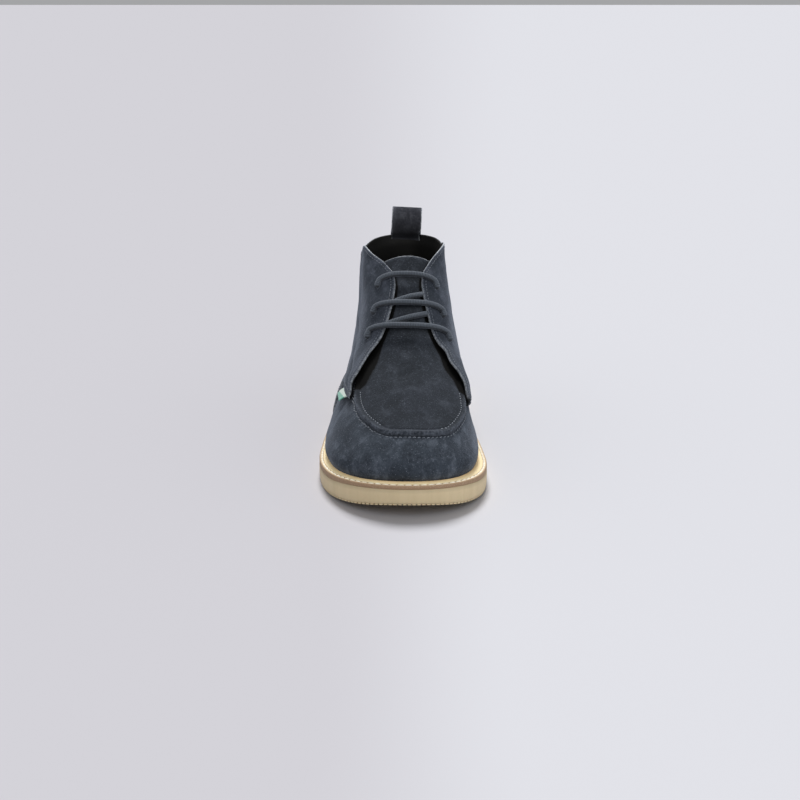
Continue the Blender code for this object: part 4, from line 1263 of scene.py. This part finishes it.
def woven(name, deep, pale):
    """A round braid: two sets of yarns cross over the cord's length and girth."""
    material, tree = new_material(name)
    deep, pale = linear(*deep), linear(*pale)
    parts = sheet_parts(tree)
    round_share = maths(tree, "MULTIPLY", parts["X"], 2 * np.pi * BRAID_YARNS)
    length_share = maths(tree, "MULTIPLY", parts["Y"], 2 * np.pi / BRAID_PITCH)
    one = maths(tree, "SINE", maths(tree, "ADD", round_share, length_share))
    other = maths(tree, "SINE", maths(tree, "SUBTRACT", round_share, length_share))
    yarns, fuzz = maths(tree, "MULTIPLY", one, other), noise(tree, place_vector(tree), 2600, 3, 0.6)
    tone = mix(tree, remap(tree, yarns, -0.6, 0.8), deep, pale)
    tone = mix(tree, remap(tree, fuzz, 0.55, 0.8, 0, 0.5), tone, times(pale, 2.2))
    # Painted shade where the stored shade number is high, on the cord's underside.
    tone = mix(tree, maths(tree, "MULTIPLY", stored(tree, "shade"), 0.92), tone, times(deep, 0.3))
    return dress(
        material, Base_Color=tone, Roughness=0.85, Sheen_Weight=0.3, Sheen_Roughness=0.4,
        Sheen_Tint=(0.65, 0.74, 0.9, 1), Normal=bump(tree, fuzz, 0.00008, 0.7, Normal=bump(tree, yarns, 0.00018, 0.8)),
    )


LACE_CORD = woven("lace_cord", (38, 43, 50), (86, 94, 105))
print("lace finish ready")

# %% The lace's route
Station = namedtuple("Station", "around ring lift wide thick")
BAR_LIFT = FLAP_TOP + LACE_RADIUS + 0.05
FLAT_LIFT = TONGUE_TOP + LACE_ROOM / 2
BAR_SHARES = (0.045, 0.1, 0.17, 0.27, 0.38, 0.5, 0.62, 0.73, 0.83, 0.9, 0.955)
R = LACE_RADIUS


def hole(name, side, upward):
    """Down or up through an eyelet."""
    row = EYELETS[name]
    place = row[:2] if side == "lateral" else row[2:4]
    steps = [(BAR_LIFT - 0.8, R, R), (BAR_LIFT - 2.4, 1.9, 1.9), (FLAT_LIFT + 0.9, 1.8, 1.4)]
    return [Station(*place, *step) for step in (steps[::-1] if upward else steps)]


def bar(name):
    """Over the facings, from the medial hole to the lateral one."""
    lateral, ring_lateral, medial, ring_medial, arch = EYELETS[name]
    stations = []
    for share in BAR_SHARES:
        ring = ring_medial + (ring_lateral - ring_medial) * share + arch * np.sin(np.pi * share) ** 0.6
        lift = BAR_LIFT - 0.35 * hump(share - 0.5, 0.22)
        stations.append(Station(medial + (lateral - medial) * share, ring, lift, R, R))
    return stations


def crossing(name):
    """Up through the medial hole, over the facings and down through the lateral one."""
    return hole(name, "medial", True) + bar(name) + hole(name, "lateral", False)


def run(*places):
    """Between two holes: flat under a facing, round in the throat, flat again."""
    lifts = (FLAT_LIFT, FLAT_LIFT + 0.1, FLAT_LIFT + 0.8, 6.0, 6.3, 6.1, FLAT_LIFT + 0.8, FLAT_LIFT + 0.1, FLAT_LIFT)
    wide = (2.6, 2.6, 2.4, R, R, R, 2.4, 2.6, 2.6)
    thick = (0.5, 0.5, 1.1, 1.9, R, 1.9, 1.1, 0.5, 0.5)
    return [Station(*place, *rest) for place, *rest in zip(places, lifts, wide, thick)]


LACE_ROUTE = (
    [Station(0.162, 9.75, 3.6, 1.6, 0.8), Station(0.178, 9.2, 3.5, 1.6, 0.8), Station(0.192, 8.6, 3.4, 1.6, 0.8)]
    + [Station(0.202, 8.0, 3.4, 1.6, 0.8), Station(0.200, 7.6, 3.8, 1.6, 0.9)]
    + crossing("lower")
    + run(
        (-0.150, 7.90), (-0.118, 8.16), (-0.090, 8.36), (-0.062, 8.54), (0.003, 8.79), (0.050, 8.87),
        (0.080, 8.89), (0.108, 8.85), (0.138, 8.70),
    )
    + crossing("middle")
    + run(
        (-0.118, 8.98), (-0.090, 9.16), (-0.064, 9.32), (-0.042, 9.47), (0.006, 9.68), (0.042, 9.75),
        (0.066, 9.80), (0.090, 9.86), (0.114, 9.91),
    )
    + crossing("upper")
    + [Station(-0.150, 9.98, FLAT_LIFT, 2.3, 0.5), Station(-0.166, 9.9, FLAT_LIFT - 0.4, 2.2, 0.5)]
)


def spline(points, step):
    """A Catmull-Rom curve through the points, evenly spaced by step."""
    ends = np.concatenate([[2 * points[0] - points[1]], points, [2 * points[-1] - points[-2]]])
    weights = cubic_weights(np.linspace(0, 1, 24, endpoint=False)[:, None])
    pieces = [sum(weight * ends[k + d] for d, weight in enumerate(weights)) for k in range(len(points) - 1)]
    return even_line(np.concatenate([*pieces, points[-1:]]), step)


def make_lace():
    table = np.array(LACE_ROUTE)
    centres = skin(*table[:, :3].T)
    normals = unit(skin(table[:, 0], table[:, 1], 1) - skin(table[:, 0], table[:, 1], 0))
    fine = spline(np.concatenate([centres, normals, table[:, 3:]], 1), LINE_STEP)
    return tube("lace", fine[:, :3], unit(fine[:, 3:6]), fine[:, 6], fine[:, 7], LACE_CORD)


lace, lace_length = make_lace()
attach(lace, "root")
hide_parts("lace_lower", "lace_middle", "lace_upper")
print("lace:", round(lace_length), "mm in the shoe")

# %% [markdown]
# ## The pull loop and the side label
#
# The loop is one strap of suede, folded over and caught inside and outside the collar. The label is a plain woven
# tape, folded and sewn in under the quarter's lower edge. Both are strips: a path in one plane, given a width.

# %% The pull loop
STRAP_WALL, STRAP_WIDTH, HEEL_RADIUS = 1.6, 23.0, 28.0
STRAP_ROWS, STRAP_COLUMNS = 131, 35
LOOP_PATH = np.array(  # lift off the last at the heel, and height over the collar
    [
        (1.9, -7), (1.7, -4.4), (0.8, -1.9), (-0.9, 0.9), (-2.2, 6), (-2.4, 13), (-0.8, 20.2), (2.0, 22.0),
        (5.0, 20.2), (6.6, 13), (6.2, 6), (4.45, -1), (4.45, -10), (4.45, -20),
    ]
)
COLLAR_RING = 11.38
LOOP_LEAN, LOOP_SHIFT = 0.05, 0.6  # the slope of its lean to the medial side, and mm to the lateral side


def loop_sheet(path, across, off):
    """The strap's sheet at off mm from its middle."""
    step = unit(np.gradient(path, axis=0))
    lift, rise = (path + np.stack([-step[:, 1], step[:, 0]], 1) * off).T[..., None]
    half_way = lengths(LAST_POINTS[int(COLLAR_RING / RING_STEP)])[-1] / 2
    around = 1 - across / (half_way * (1 + lift / HEEL_RADIUS))
    points = skin(around, COLLAR_RING + np.minimum(rise, 0) / 10, lift)
    flatten, over = smooth(rise / 6), np.maximum(rise, 0)
    flat = points[:, len(across) // 2][:, None] + across[:, None] * (1, 0, 0)
    points = points + (flat - points) * flatten[..., None]
    points[..., 2] += over - LOOP_LEAN * across * flatten
    points[..., 0] += LOOP_LEAN * over - LOOP_SHIFT
    return points


def make_loop():
    along = lengths(LOOP_PATH)
    path = curve(along, LOOP_PATH, np.linspace(0, along[-1], STRAP_ROWS))
    across = np.linspace(-STRAP_WIDTH / 2, STRAP_WIDTH / 2, STRAP_COLUMNS)
    outer, inner = (loop_sheet(path, across, off) for off in (STRAP_WALL / 2, -STRAP_WALL / 2))
    # Painted shade: the strap's inner leg darkens downwards into the collar.
    inner_leg, low = smooth((2.5 - path[:, 0]) / 2.5), np.clip((18.5 - path[:, 1]) / 17, 0, 1) ** 1.1
    shade = 0.95 * (inner_leg * low)[:, None] + 0 * across
    finishes = [LOOP_SUEDE, LOOP_SUEDE, RAW_EDGE]
    return shell("pull_loop", outer, inner, finishes, raw=("left", "right"), nap_width=0.6, shade=shade), outer


pull_loop, loop_outer = make_loop()
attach(pull_loop, "root")
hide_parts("pull_loop")
print("pull loop sheet:", loop_outer.shape)

# %% Stitches that hold the loop
LOOP_PARTS = (("left", 0.80, 0.985), ("right", 0.80, 0.985), ("high", 0.09, 0.91))
loop_rows = [inset_row(loop_outer, 2.0, part) for part in LOOP_PARTS]
loop_seam = sew("loop_stitches", loop_rows, DARK_THREAD, 2.6, 1.9, 0.55, 0.25)
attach(loop_seam, "root")

# %% The side label
LABEL_RIBS = 16
LABEL_WALL = 0.9
LABEL_TUCK, LABEL_BULGE = 0.25, 0.7  # the share of it that is caught in the seam, and how far its fold stands up
LABEL_PLACES = ((-0.236, 4.38), (-0.298, 4.34))  # where its front and back corners are caught
LABEL_HANG = ((-6.1, -2.2, -2.2), (-5.0, -1.2, -3.4))  # how far its free corners hang out from them, in mm


def tape(name, colour, pale):
    """A plain woven tape, one part green and one part pale, with fine ribs."""
    material, tree = new_material(name)
    colour, pale = linear(*colour), linear(*pale)
    parts = sheet_parts(tree)
    edge = noise(tree, place_vector(tree), 900, 2)
    split = maths(tree, "ADD", parts["Y"], maths(tree, "MULTIPLY", edge, 0.12))
    split = maths(tree, "SUBTRACT", split, maths(tree, "MULTIPLY", parts["X"], 0.25))
    ribs = maths(tree, "SINE", maths(tree, "MULTIPLY", parts["Y"], 2 * np.pi * LABEL_RIBS))
    tone = mix(tree, remap(tree, split, 0.60, 0.68), pale, colour)
    tone = mix(tree, remap(tree, ribs, -1, 1, 0, 0.25), tone, times(colour, 0.5))
    return dress(material, Base_Color=tone, Roughness=0.75, Sheen_Weight=0.3, Normal=bump(tree, ribs, 0.0001, 0.7))


def make_label():
    """A folded tape that stands out from under the quarter's lower edge and droops at the back."""
    front, back = (skin(*place, VAMP_WALL + LABEL_WALL) for place in LABEL_PLACES)
    along = np.linspace(0, 1, 24)[None, :, None]
    out = np.linspace(-LABEL_TUCK, 1, 20)[:, None, None]
    hang = np.array(LABEL_HANG[0]) * (1 - along) + np.array(LABEL_HANG[1]) * along
    sheet = front * (1 - along) + back * along + hang * out
    sheet[..., 2] += LABEL_BULGE * np.sin(np.pi * np.clip(out[..., 0], 0, 1))
    half = unit(np.cross(np.gradient(sheet, axis=1), np.gradient(sheet, axis=0))) * LABEL_WALL / 2
    return shell("side_label", sheet + half, sheet - half, [LABEL_TAPE])


LABEL_TAPE = tape("label_tape", (96, 164, 146), (196, 210, 204))
label = make_label()
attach(label, "root")
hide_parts("side_label")
print("label points:", len(label.data.vertices))

# %% [markdown]
# ## Welt, outsole and insole
#
# The welt is a strip of leather sewn round the upper's edge, its stitches sunk in a groove. The rubber sole is glued
# under it. Each layer is a stack of loops round the same outline, joined one to the next, so the layers meet exactly
# and the edges can be rounded by adding loops.


# %% Leather and rubber
def welt_leather(name, stops):
    """Veg-tanned strip: its colours run from the upper outwards, over the groove, to the dyed edge."""
    material, tree = new_material(name)
    flat = place_vector(tree)
    cloud, grain = noise(tree, flat, 110, 4, 0.6), noise(tree, flat, 1300, 3, 0.6)
    across = put(tree, "ShaderNodeValToRGB", {0: stored(tree, "outward")})
    ramp = across.color_ramp.elements
    ramp[0].position, ramp[1].position = stops[0][0], stops[-1][0]
    ramp[0].color, ramp[1].color = ((*linear(*stop[1]), 1) for stop in (stops[0], stops[-1]))
    for place, colour in stops[1:-1]:
        ramp.new(place).color = (*linear(*colour), 1)
    tone = mix(tree, remap(tree, cloud, 0.40, 0.75, 0, 0.10), across.outputs[0], (0.18, 0.12, 0.08))
    tone = mix(tree, remap(tree, grain, 0.5, 0.75, 0, 0.15), tone, (0.95, 0.88, 0.74))
    rough = remap(tree, grain, 0.3, 0.7, 0.50, 0.68)
    return dress(material, Base_Color=tone, Roughness=rough, Normal=bump(tree, grain, 0.00008, 0.5))


def crepe_rubber(name, colour, deep):
    """Moulded rubber with faint upright streaks and a matt bloom."""
    material, tree = new_material(name)
    colour, deep = linear(*colour), linear(*deep)
    streaks = noise(tree, place_vector(tree, (1, 1, 0.06)), 190, 4, 0.6)
    grain = noise(tree, place_vector(tree), 900, 3, 0.6)
    tone = mix(tree, remap(tree, streaks, 0.30, 0.80), colour, deep)
    tone = mix(tree, remap(tree, grain, 0.55, 0.8, 0, 0.22), tone, times(deep, 0.75))
    # Painted shade: the wall darkens towards its top, just under the welt.
    tone = mix(tree, remap(tree, stored(tree, "rise"), 0.72, 1.0, 0, 0.42), tone, times(deep, 0.45))
    normal = bump(tree, grain, 0.0001, 0.4, Normal=bump(tree, streaks, 0.0002, 0.25))
    glow = {"Subsurface_Weight": 0.04, "Subsurface_Scale": 0.002}
    return dress(material, Base_Color=tone, Roughness=0.62, Normal=normal, **glow)


# The dark stop at 0.65 is painted shade in the stitch groove.
WELT_STOPS = (  # share of the way out, colour
    (0.0, (255, 216, 158)), (0.45, (255, 234, 186)), (0.58, (255, 234, 190)), (0.65, (120, 92, 64)),
    (0.71, (226, 206, 172)), (0.82, (200, 176, 142)), (0.95, (149, 121, 94)), (1.0, (138, 111, 84)),
)
WELT_LEATHER = welt_leather("welt_leather", WELT_STOPS)
RUBBER = crepe_rubber("crepe_rubber", (196, 179, 146), (186, 169, 136))
print("welt and rubber ready")

# %% The sole's outline and heights
SOLE_LOWER = np.array(  # station along the sole, height of its underside
    [
        (-150, 7.3), (-141, 4.6), (-126, 2.0), (-108, 0.4), (-92, 0),
        (-22, 0), (-6, 0.8), (16, 3.6), (38, 6.4), (57, 7.6),
    ]
)
BREAST_Y, HEEL_LIFT_Y, HEEL_END_Y = 58.0, 138, 150.0
WELT_THIN, WELT_THICK, INSOLE_THICK = 2.8, 4.0, 2.5
WELT_GROWS_Y, WELT_GROWS_BY = -148, 36  # where the welt starts to thicken, and over how many mm
TREAD = 0.9  # height of the tread's blocks
TREAD_END_Y, TREAD_FADE = -14, 14
AROUND = np.linspace(-1, 1, 901)[:-1]
EDGE = rim(AROUND, sole_margin(AROUND))


def sole_bottom(y):
    """Lowest surface of the front part: toe spring, flat forefoot and arch."""
    return np.maximum(curve(*SOLE_LOWER.T, np.clip(y, SOLE_LOWER[0, 0], SOLE_LOWER[-1, 0])), 0)


def heel_bottom(y):
    return smooth((y - HEEL_LIFT_Y) / (HEEL_END_Y - HEEL_LIFT_Y))


def slab_top(y):
    """The rubber's upper face: the welt thins towards the toe."""
    return sole_top(y) - WELT_THIN - (WELT_THICK - WELT_THIN) * smooth((y - WELT_GROWS_Y) / WELT_GROWS_BY)


def slab_bottom(y):
    """The rubber's lower face, with room for the tread's blocks in front."""
    return sole_bottom(y) + TREAD * (1 - smooth((y - TREAD_END_Y) / TREAD_FADE))


# Heights of surfaces, as functions of the station: one raised, one between two others and a level one.
def raised(height, rise):
    return lambda y: height(y) + rise


def between(low, high, share):
    return lambda y: low(y) * (1 - share) + high(y) * share


def level(z):
    return lambda y: 0 * y + z


def sole_loop(reach, height, share=1.0, from_margin=True):
    """A loop round the sole: share 1 is its outline, share 0 its middle line, height a function of y."""
    out = rim(AROUND, sole_margin(AROUND) + reach if from_margin else reach)
    middle = (rim(AROUND, 0.0) + rim(-AROUND, 0.0)) / 2 * (1, 0.8, 1)
    loop = middle + (out - middle) * share
    loop[:, 2] = height(loop[:, 1])
    return loop


print("sole outline:", EDGE.min(0).round(1), EDGE.max(0).round(1))

# %% The welt
WELT_GROOVE = 1.9  # from the edge to the row of stitches
WELT_SECTION = (  # reach from the sole's edge, height from the sole's top, share of the way out for colour
    (-16.0, -0.02, 0.0), (-9.0, 0.9, 0.0), (-7.0, 1.05, 0.1), (-5.4, 0.85, 0.25),
    (-4.2, 0.45, 0.45), (-WELT_GROOVE - 0.95, 0.12, 0.6), (-WELT_GROOVE - 0.6, -0.08, 0.62),
    (-WELT_GROOVE - 0.3, -0.32, 0.64), (-WELT_GROOVE, -0.40, 0.66), (-WELT_GROOVE + 0.3, -0.32, 0.68),
    (-WELT_GROOVE + 0.6, -0.12, 0.72), (-0.9, 0.0, 0.78), (-0.55, -0.12, 0.88), (-0.25, -0.45, 0.95),
    (-0.06, -0.9, 1.0), (0.0, -1.2, 1.0),
)
WELT_LOWER = (  # reach, share of the thickness, share of the way out for colour
    (0.0, 0.75, 1.0), (-0.05, 0.92, 1.0), (-0.3, 1.0, 1.0), (-16.0, 1.0, 0.0)
)


def make_welt():
    loops = [sole_loop(reach, raised(sole_top, drop)) for reach, drop, _ in WELT_SECTION]
    loops += [sole_loop(reach, between(sole_top, slab_top, share)) for reach, share, _ in WELT_LOWER]
    verts, faces = stack(loops, wrap=True)
    outward = np.repeat([row[2] for row in WELT_SECTION + WELT_LOWER], len(AROUND))
    return mesh_object("welt", verts, faces.tolist(), [WELT_LEATHER], fields={"outward": outward})


welt = make_welt()
seam_line = sole_loop(-WELT_GROOVE, sole_top) - (0, 0, 0.30)
seam_ups = np.tile([0.0, 0, 1], (len(seam_line), 1))
welt_seam = sew("welt_stitches", [(seam_line, seam_ups, True)], CREAM_THREAD, 4.9, 5.1, 1.3, 0.6)
for piece in (welt, welt_seam):
    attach(piece, "root")
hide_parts("welt")
print("welt:", len(welt.data.polygons), "faces")

# %% The outsole: a slab with toe spring and arch, and the heel block under it
SLAB_WALL = (  # reach, share of the height
    (0.0, 0.06), (0.05, 0.2), (0.12, 0.4), (0.15, 0.6), (0.14, 0.72), (0.12, 0.82), (0.08, 0.9), (0.03, 0.97)
)
HEEL_WAIST = 4.5  # height at which the heel block bulges most
BREAST_BULGE = 2.5


def slab_loops():
    loops = [sole_loop(-2, slab_bottom, share) for share in (0, 0.3, 0.6, 0.85)]
    loops += [sole_loop(-1.0, slab_bottom), sole_loop(-0.25, raised(slab_bottom, 0.08))]
    loops += [sole_loop(reach, between(slab_bottom, slab_top, share)) for reach, share in SLAB_WALL]
    loops += [sole_loop(-0.25, slab_top), sole_loop(-6, slab_top)]
    return loops + [sole_loop(-6, slab_top, share) for share in (0.5, 0)]


def heel_loops():
    """The heel block: its outline runs round the heel and straight across at the breast."""
    back = EDGE[:, 1] > BREAST_Y
    medial, lateral = EDGE[back & (AROUND > 0)], EDGE[back & (AROUND < 0)]
    share = np.linspace(0, 1, 60)[1:-1, None]
    breast = lateral[-1] * (1 - share) + medial[0] * share
    breast[:, 1] += BREAST_BULGE * np.sin(np.pi * share[:, 0])
    outline = np.concatenate([medial, lateral, breast])
    centre = outline.mean(0)

    def loop(reach, height, share=1.0):
        away = unit((outline - centre) * (1, 1, 0))
        made = centre + (outline + away * reach - centre) * share
        made[:, 2] = height(made[:, 1])
        return made

    low, high = raised(heel_bottom, TREAD), level(SOLE_LOWER[-1, 1] + 0.02)
    loops = [loop(-2, low, share) for share in (0, 0.4, 0.8)]
    loops += [loop(-0.9, low), loop(-0.2, raised(low, 0.1)), loop(0.0, raised(low, 0.7))]
    return loops + [loop(0.02, level(HEEL_WAIST)), loop(0.0, high), loop(-3, high), loop(-3, high, 0)]


def make_outsole():
    slab_verts, slab_faces = stack(slab_loops())
    heel_verts, heel_faces = stack(heel_loops())
    faces = np.concatenate([slab_faces, heel_faces + len(slab_verts)])
    # Share of the way up the slab's wall, which the rubber uses for painted shade under the welt.
    on_slab = np.repeat([0] * 6 + [share for _, share in SLAB_WALL] + [1] * 4, len(AROUND))
    fields = {"rise": np.append(on_slab, np.zeros(len(heel_verts)))}
    return mesh_object("outsole", np.concatenate([slab_verts, heel_verts]), faces.tolist(), [RUBBER], fields=fields)


outsole = make_outsole()
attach(outsole, "root")
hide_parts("outsole")
print("outsole:", len(outsole.data.polygons), "faces")

# %% [markdown]
# ## Tread
#
# Small moulded blocks run round the edge of the sole, where they show as fine teeth from in front, and larger ones
# fill the forefoot and the heel. They are the same block at each point of a line, so Geometry Nodes set them out.


# %% The tread's tree
def block_tree():
    tree, given = line_tree("tread_blocks", {"Pitch": 0.003, "Size": None}, 4)
    block = put(tree, "GeometryNodeMeshCube", {"Size": given["Size"]}).outputs["Mesh"]
    scale = point(tree, X=chance(tree, given, 0.9, 1.08), Y=1, Z=1)
    return set_out(tree, given, block, Rotation=stand(tree, "Z", "X"), Scale=scale)


BLOCK_TREE = block_tree()
print("tread tree nodes:", len(BLOCK_TREE.nodes))

# %% Tread blocks
BLOCK_DEEP = 0.3  # how far a block is set into the sole
TREAD_CLEAR = 0.12  # so that no corner of a tilted block dips below the floor
SLOPE_STEP = 0.5
FIELD_PITCH, FIELD_INSET = 6.4, 10
FIELD_BLOCK, EDGE_BLOCK = (4.4, 4.4, TREAD + BLOCK_DEEP), (2.25, 5.4, TREAD + BLOCK_DEEP)
FRONT_FIELD, HEEL_FIELD = (-128, -18), (64, 138)  # stations between which they lie
EDGE_PITCH, EDGE_INSET, EDGE_TREAD_END = 2.9, 2.9, -16


def tread_line(points, lowest):
    """A line for blocks whose lower faces lie on the lowest surface, with its way up."""
    slope = (lowest(points[:, 1] + SLOPE_STEP) - lowest(points[:, 1] - SLOPE_STEP)) / (2 * SLOPE_STEP)
    ups = unit(np.stack([0 * slope, -slope, 0 * slope + 1], 1))
    points = points.copy()
    points[:, 2] = lowest(points[:, 1]) + TREAD_CLEAR
    return points + ups * (TREAD + BLOCK_DEEP) / 2, ups, False


def field_rows(lowest, start, end):
    """Rows across the sole between two stations, every other one shifted by half a pitch."""
    lateral, medial = EDGE[EDGE[:, 0] < 0], EDGE[EDGE[:, 0] > 0]
    lateral, medial = lateral[np.argsort(lateral[:, 1])], medial[np.argsort(medial[:, 1])]
    rows = []
    for k, y in enumerate(np.arange(start, end, FIELD_PITCH)):
        left = np.interp(y, lateral[:, 1], lateral[:, 0]) + FIELD_INSET + (k % 2) * FIELD_PITCH / 2
        right = np.interp(y, medial[:, 1], medial[:, 0]) - FIELD_INSET
        x = np.linspace(left, right, 12)
        rows.append(tread_line(np.stack([x, 0 * x + y, 0 * x], 1), lowest))
    return rows


def make_tread():
    edge = sole_loop(-EDGE_INSET, sole_bottom)
    edge = np.roll(edge, -np.argmax(edge[:, 1]), axis=0)
    front = edge[edge[:, 1] < EDGE_TREAD_END]
    heel = edge[edge[:, 1] > BREAST_Y + 2]
    split = np.argmax(np.linalg.norm(np.diff(heel, axis=0), axis=1)) + 1
    heel = np.concatenate([heel[split:], heel[:split]])
    small = [tread_line(front, sole_bottom), tread_line(heel, heel_bottom)]
    large = field_rows(sole_bottom, *FRONT_FIELD) + field_rows(heel_bottom, *HEEL_FIELD)
    made = []
    for name, lines, pitch, size in (
        ("edge_tread", small, EDGE_PITCH, EDGE_BLOCK),
        ("field_tread", large, FIELD_PITCH, FIELD_BLOCK),
    ):
        values = {"Pitch": pitch * MM, "Size": tuple(v * MM for v in size), "Seed": 4, "Finish": RUBBER}
        made.append(grow(name, lines, BLOCK_TREE, values))
    return made


tread = make_tread()
for piece in tread:
    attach(piece, "root")
print("tread faces:", [len(piece.data.polygons) for piece in tread])

# %% The insole
INSOLE_RIM = ((-1.6, 1.7), (-2.6, 1.6), (-4.5, 0.9), (-7.5, 0.25), (-11, 0.0))  # reach, rise towards the wall


def make_insole():
    low, high = raised(sole_top, 0.1), raised(sole_top, GAP + INSOLE_THICK)
    rows = [(-2, low, 0), (-2, low, 0.5), (-1.0, low, 1), (-0.8, high, 1), (-0.9, raised(high, 1.2), 1)]
    rows += [(inward, raised(high, rise), 1) for inward, rise in INSOLE_RIM]
    rows += [(-11, high, share) for share in (0.7, 0.4, 0)]
    verts, faces = stack([sole_loop(*row, from_margin=False) for row in rows])
    return mesh_object("insole", verts, faces.tolist(), [SOCK])


insole = make_insole()
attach(insole, "root")
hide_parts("insole")
print("insole:", len(insole.data.polygons), "faces")

# %% [markdown]
# ## Floor and light
#
# The boot stands in a pale studio. A wide sky and a high sun behind it give the even floor and the soft contact
# shadow. Three broad suns in front and at the sides fill the boot: they are linked to it alone, so that they shape
# the leather and leave the floor as it is. Suns light the whole floor alike, so it stays plain up to the horizon.

# %% The floor
FLOOR_LEFT, FLOOR_RIGHT = linear(215, 214, 221), linear(229, 230, 237)
FLOOR_SIDE, FLOOR_FRONT, FLOOR_BACK = 60000, -3000, 120000  # mm


def floor_finish():
    """Pale paper with painted light: a little lighter towards the right of the view."""
    material, tree = new_material("floor_paper")
    parts = parts_of(tree, put(tree, "ShaderNodeTexCoord").outputs["Object"])
    depth = maths(tree, "SUBTRACT", parts["Y"], CAMERA_PLACE[1])
    side = maths(tree, "DIVIDE", parts["X"], maths(tree, "MAXIMUM", depth, 0.05))
    side = maths(tree, "MULTIPLY", side, remap(tree, depth, 0.05, 0.6, kind="SMOOTHSTEP"))
    # Painted light: lighter towards the right of the view.
    tone = mix(tree, remap(tree, side, -0.08, 0.10, kind="SMOOTHSTEP"), FLOOR_LEFT, FLOOR_RIGHT)
    return dress(material, Base_Color=tone, Roughness=0.9, Specular_IOR_Level=0.0)


floor_corners = [(-FLOOR_SIDE, FLOOR_FRONT, 0), (FLOOR_SIDE, FLOOR_FRONT, 0)]
floor_corners += [(FLOOR_SIDE, FLOOR_BACK, 0), (-FLOOR_SIDE, FLOOR_BACK, 0)]
floor = mesh_object("floor", floor_corners, [(0, 1, 2, 3)], [floor_finish()])
print("floor laid")


# %% Lights
def sun(name, azimuth, height, strength, spread, colour, lit=None):
    """A broad light, in degrees: azimuth from in front of the toe towards the viewer's left, height off the floor."""
    data = bpy.data.lights.new(name, "SUN")
    data.energy, data.angle, data.color = strength, np.radians(spread), colour
    lamp = add(name, data)
    lamp.rotation_euler = (np.radians(90 - height), 0, -np.radians(azimuth))
    lamp.light_linking.receiver_collection = lit


def sky(front, back, colour):
    """Light from all round, of one strength behind the viewer and another behind the boot."""
    world = bpy.data.worlds.new("studio")
    world.use_nodes = True
    tree = world.node_tree
    parts = parts_of(tree, put(tree, "ShaderNodeTexCoord").outputs["Generated"])
    sockets = {"Color": (*colour, 1), "Strength": remap(tree, parts["Y"], -0.7, 0.5, front, back)}
    connect(tree, tree.nodes["Background"], sockets)
    bpy.context.scene.world = world


boot_only = bpy.data.collections.new("boot_only")
for piece in bpy.context.scene.objects:
    if piece.type == "MESH" and piece != floor:
        boot_only.objects.link(piece)
sky(0.26, 0.38, (0.97, 0.98, 1.0))
sun("key", 176, 55, 2.5, 18, (1.0, 0.99, 0.97))
sun("front fill", 4, 34, 1.17, 40, (1.0, 0.98, 0.95), boot_only)
sun("left fill", 80, 25, 0.38, 40, (1.0, 1.0, 1.0), boot_only)
sun("right fill", -62, 25, 1.05, 40, (1.0, 1.0, 1.0), boot_only)
bpy.context.scene.view_settings.view_transform = "Standard"
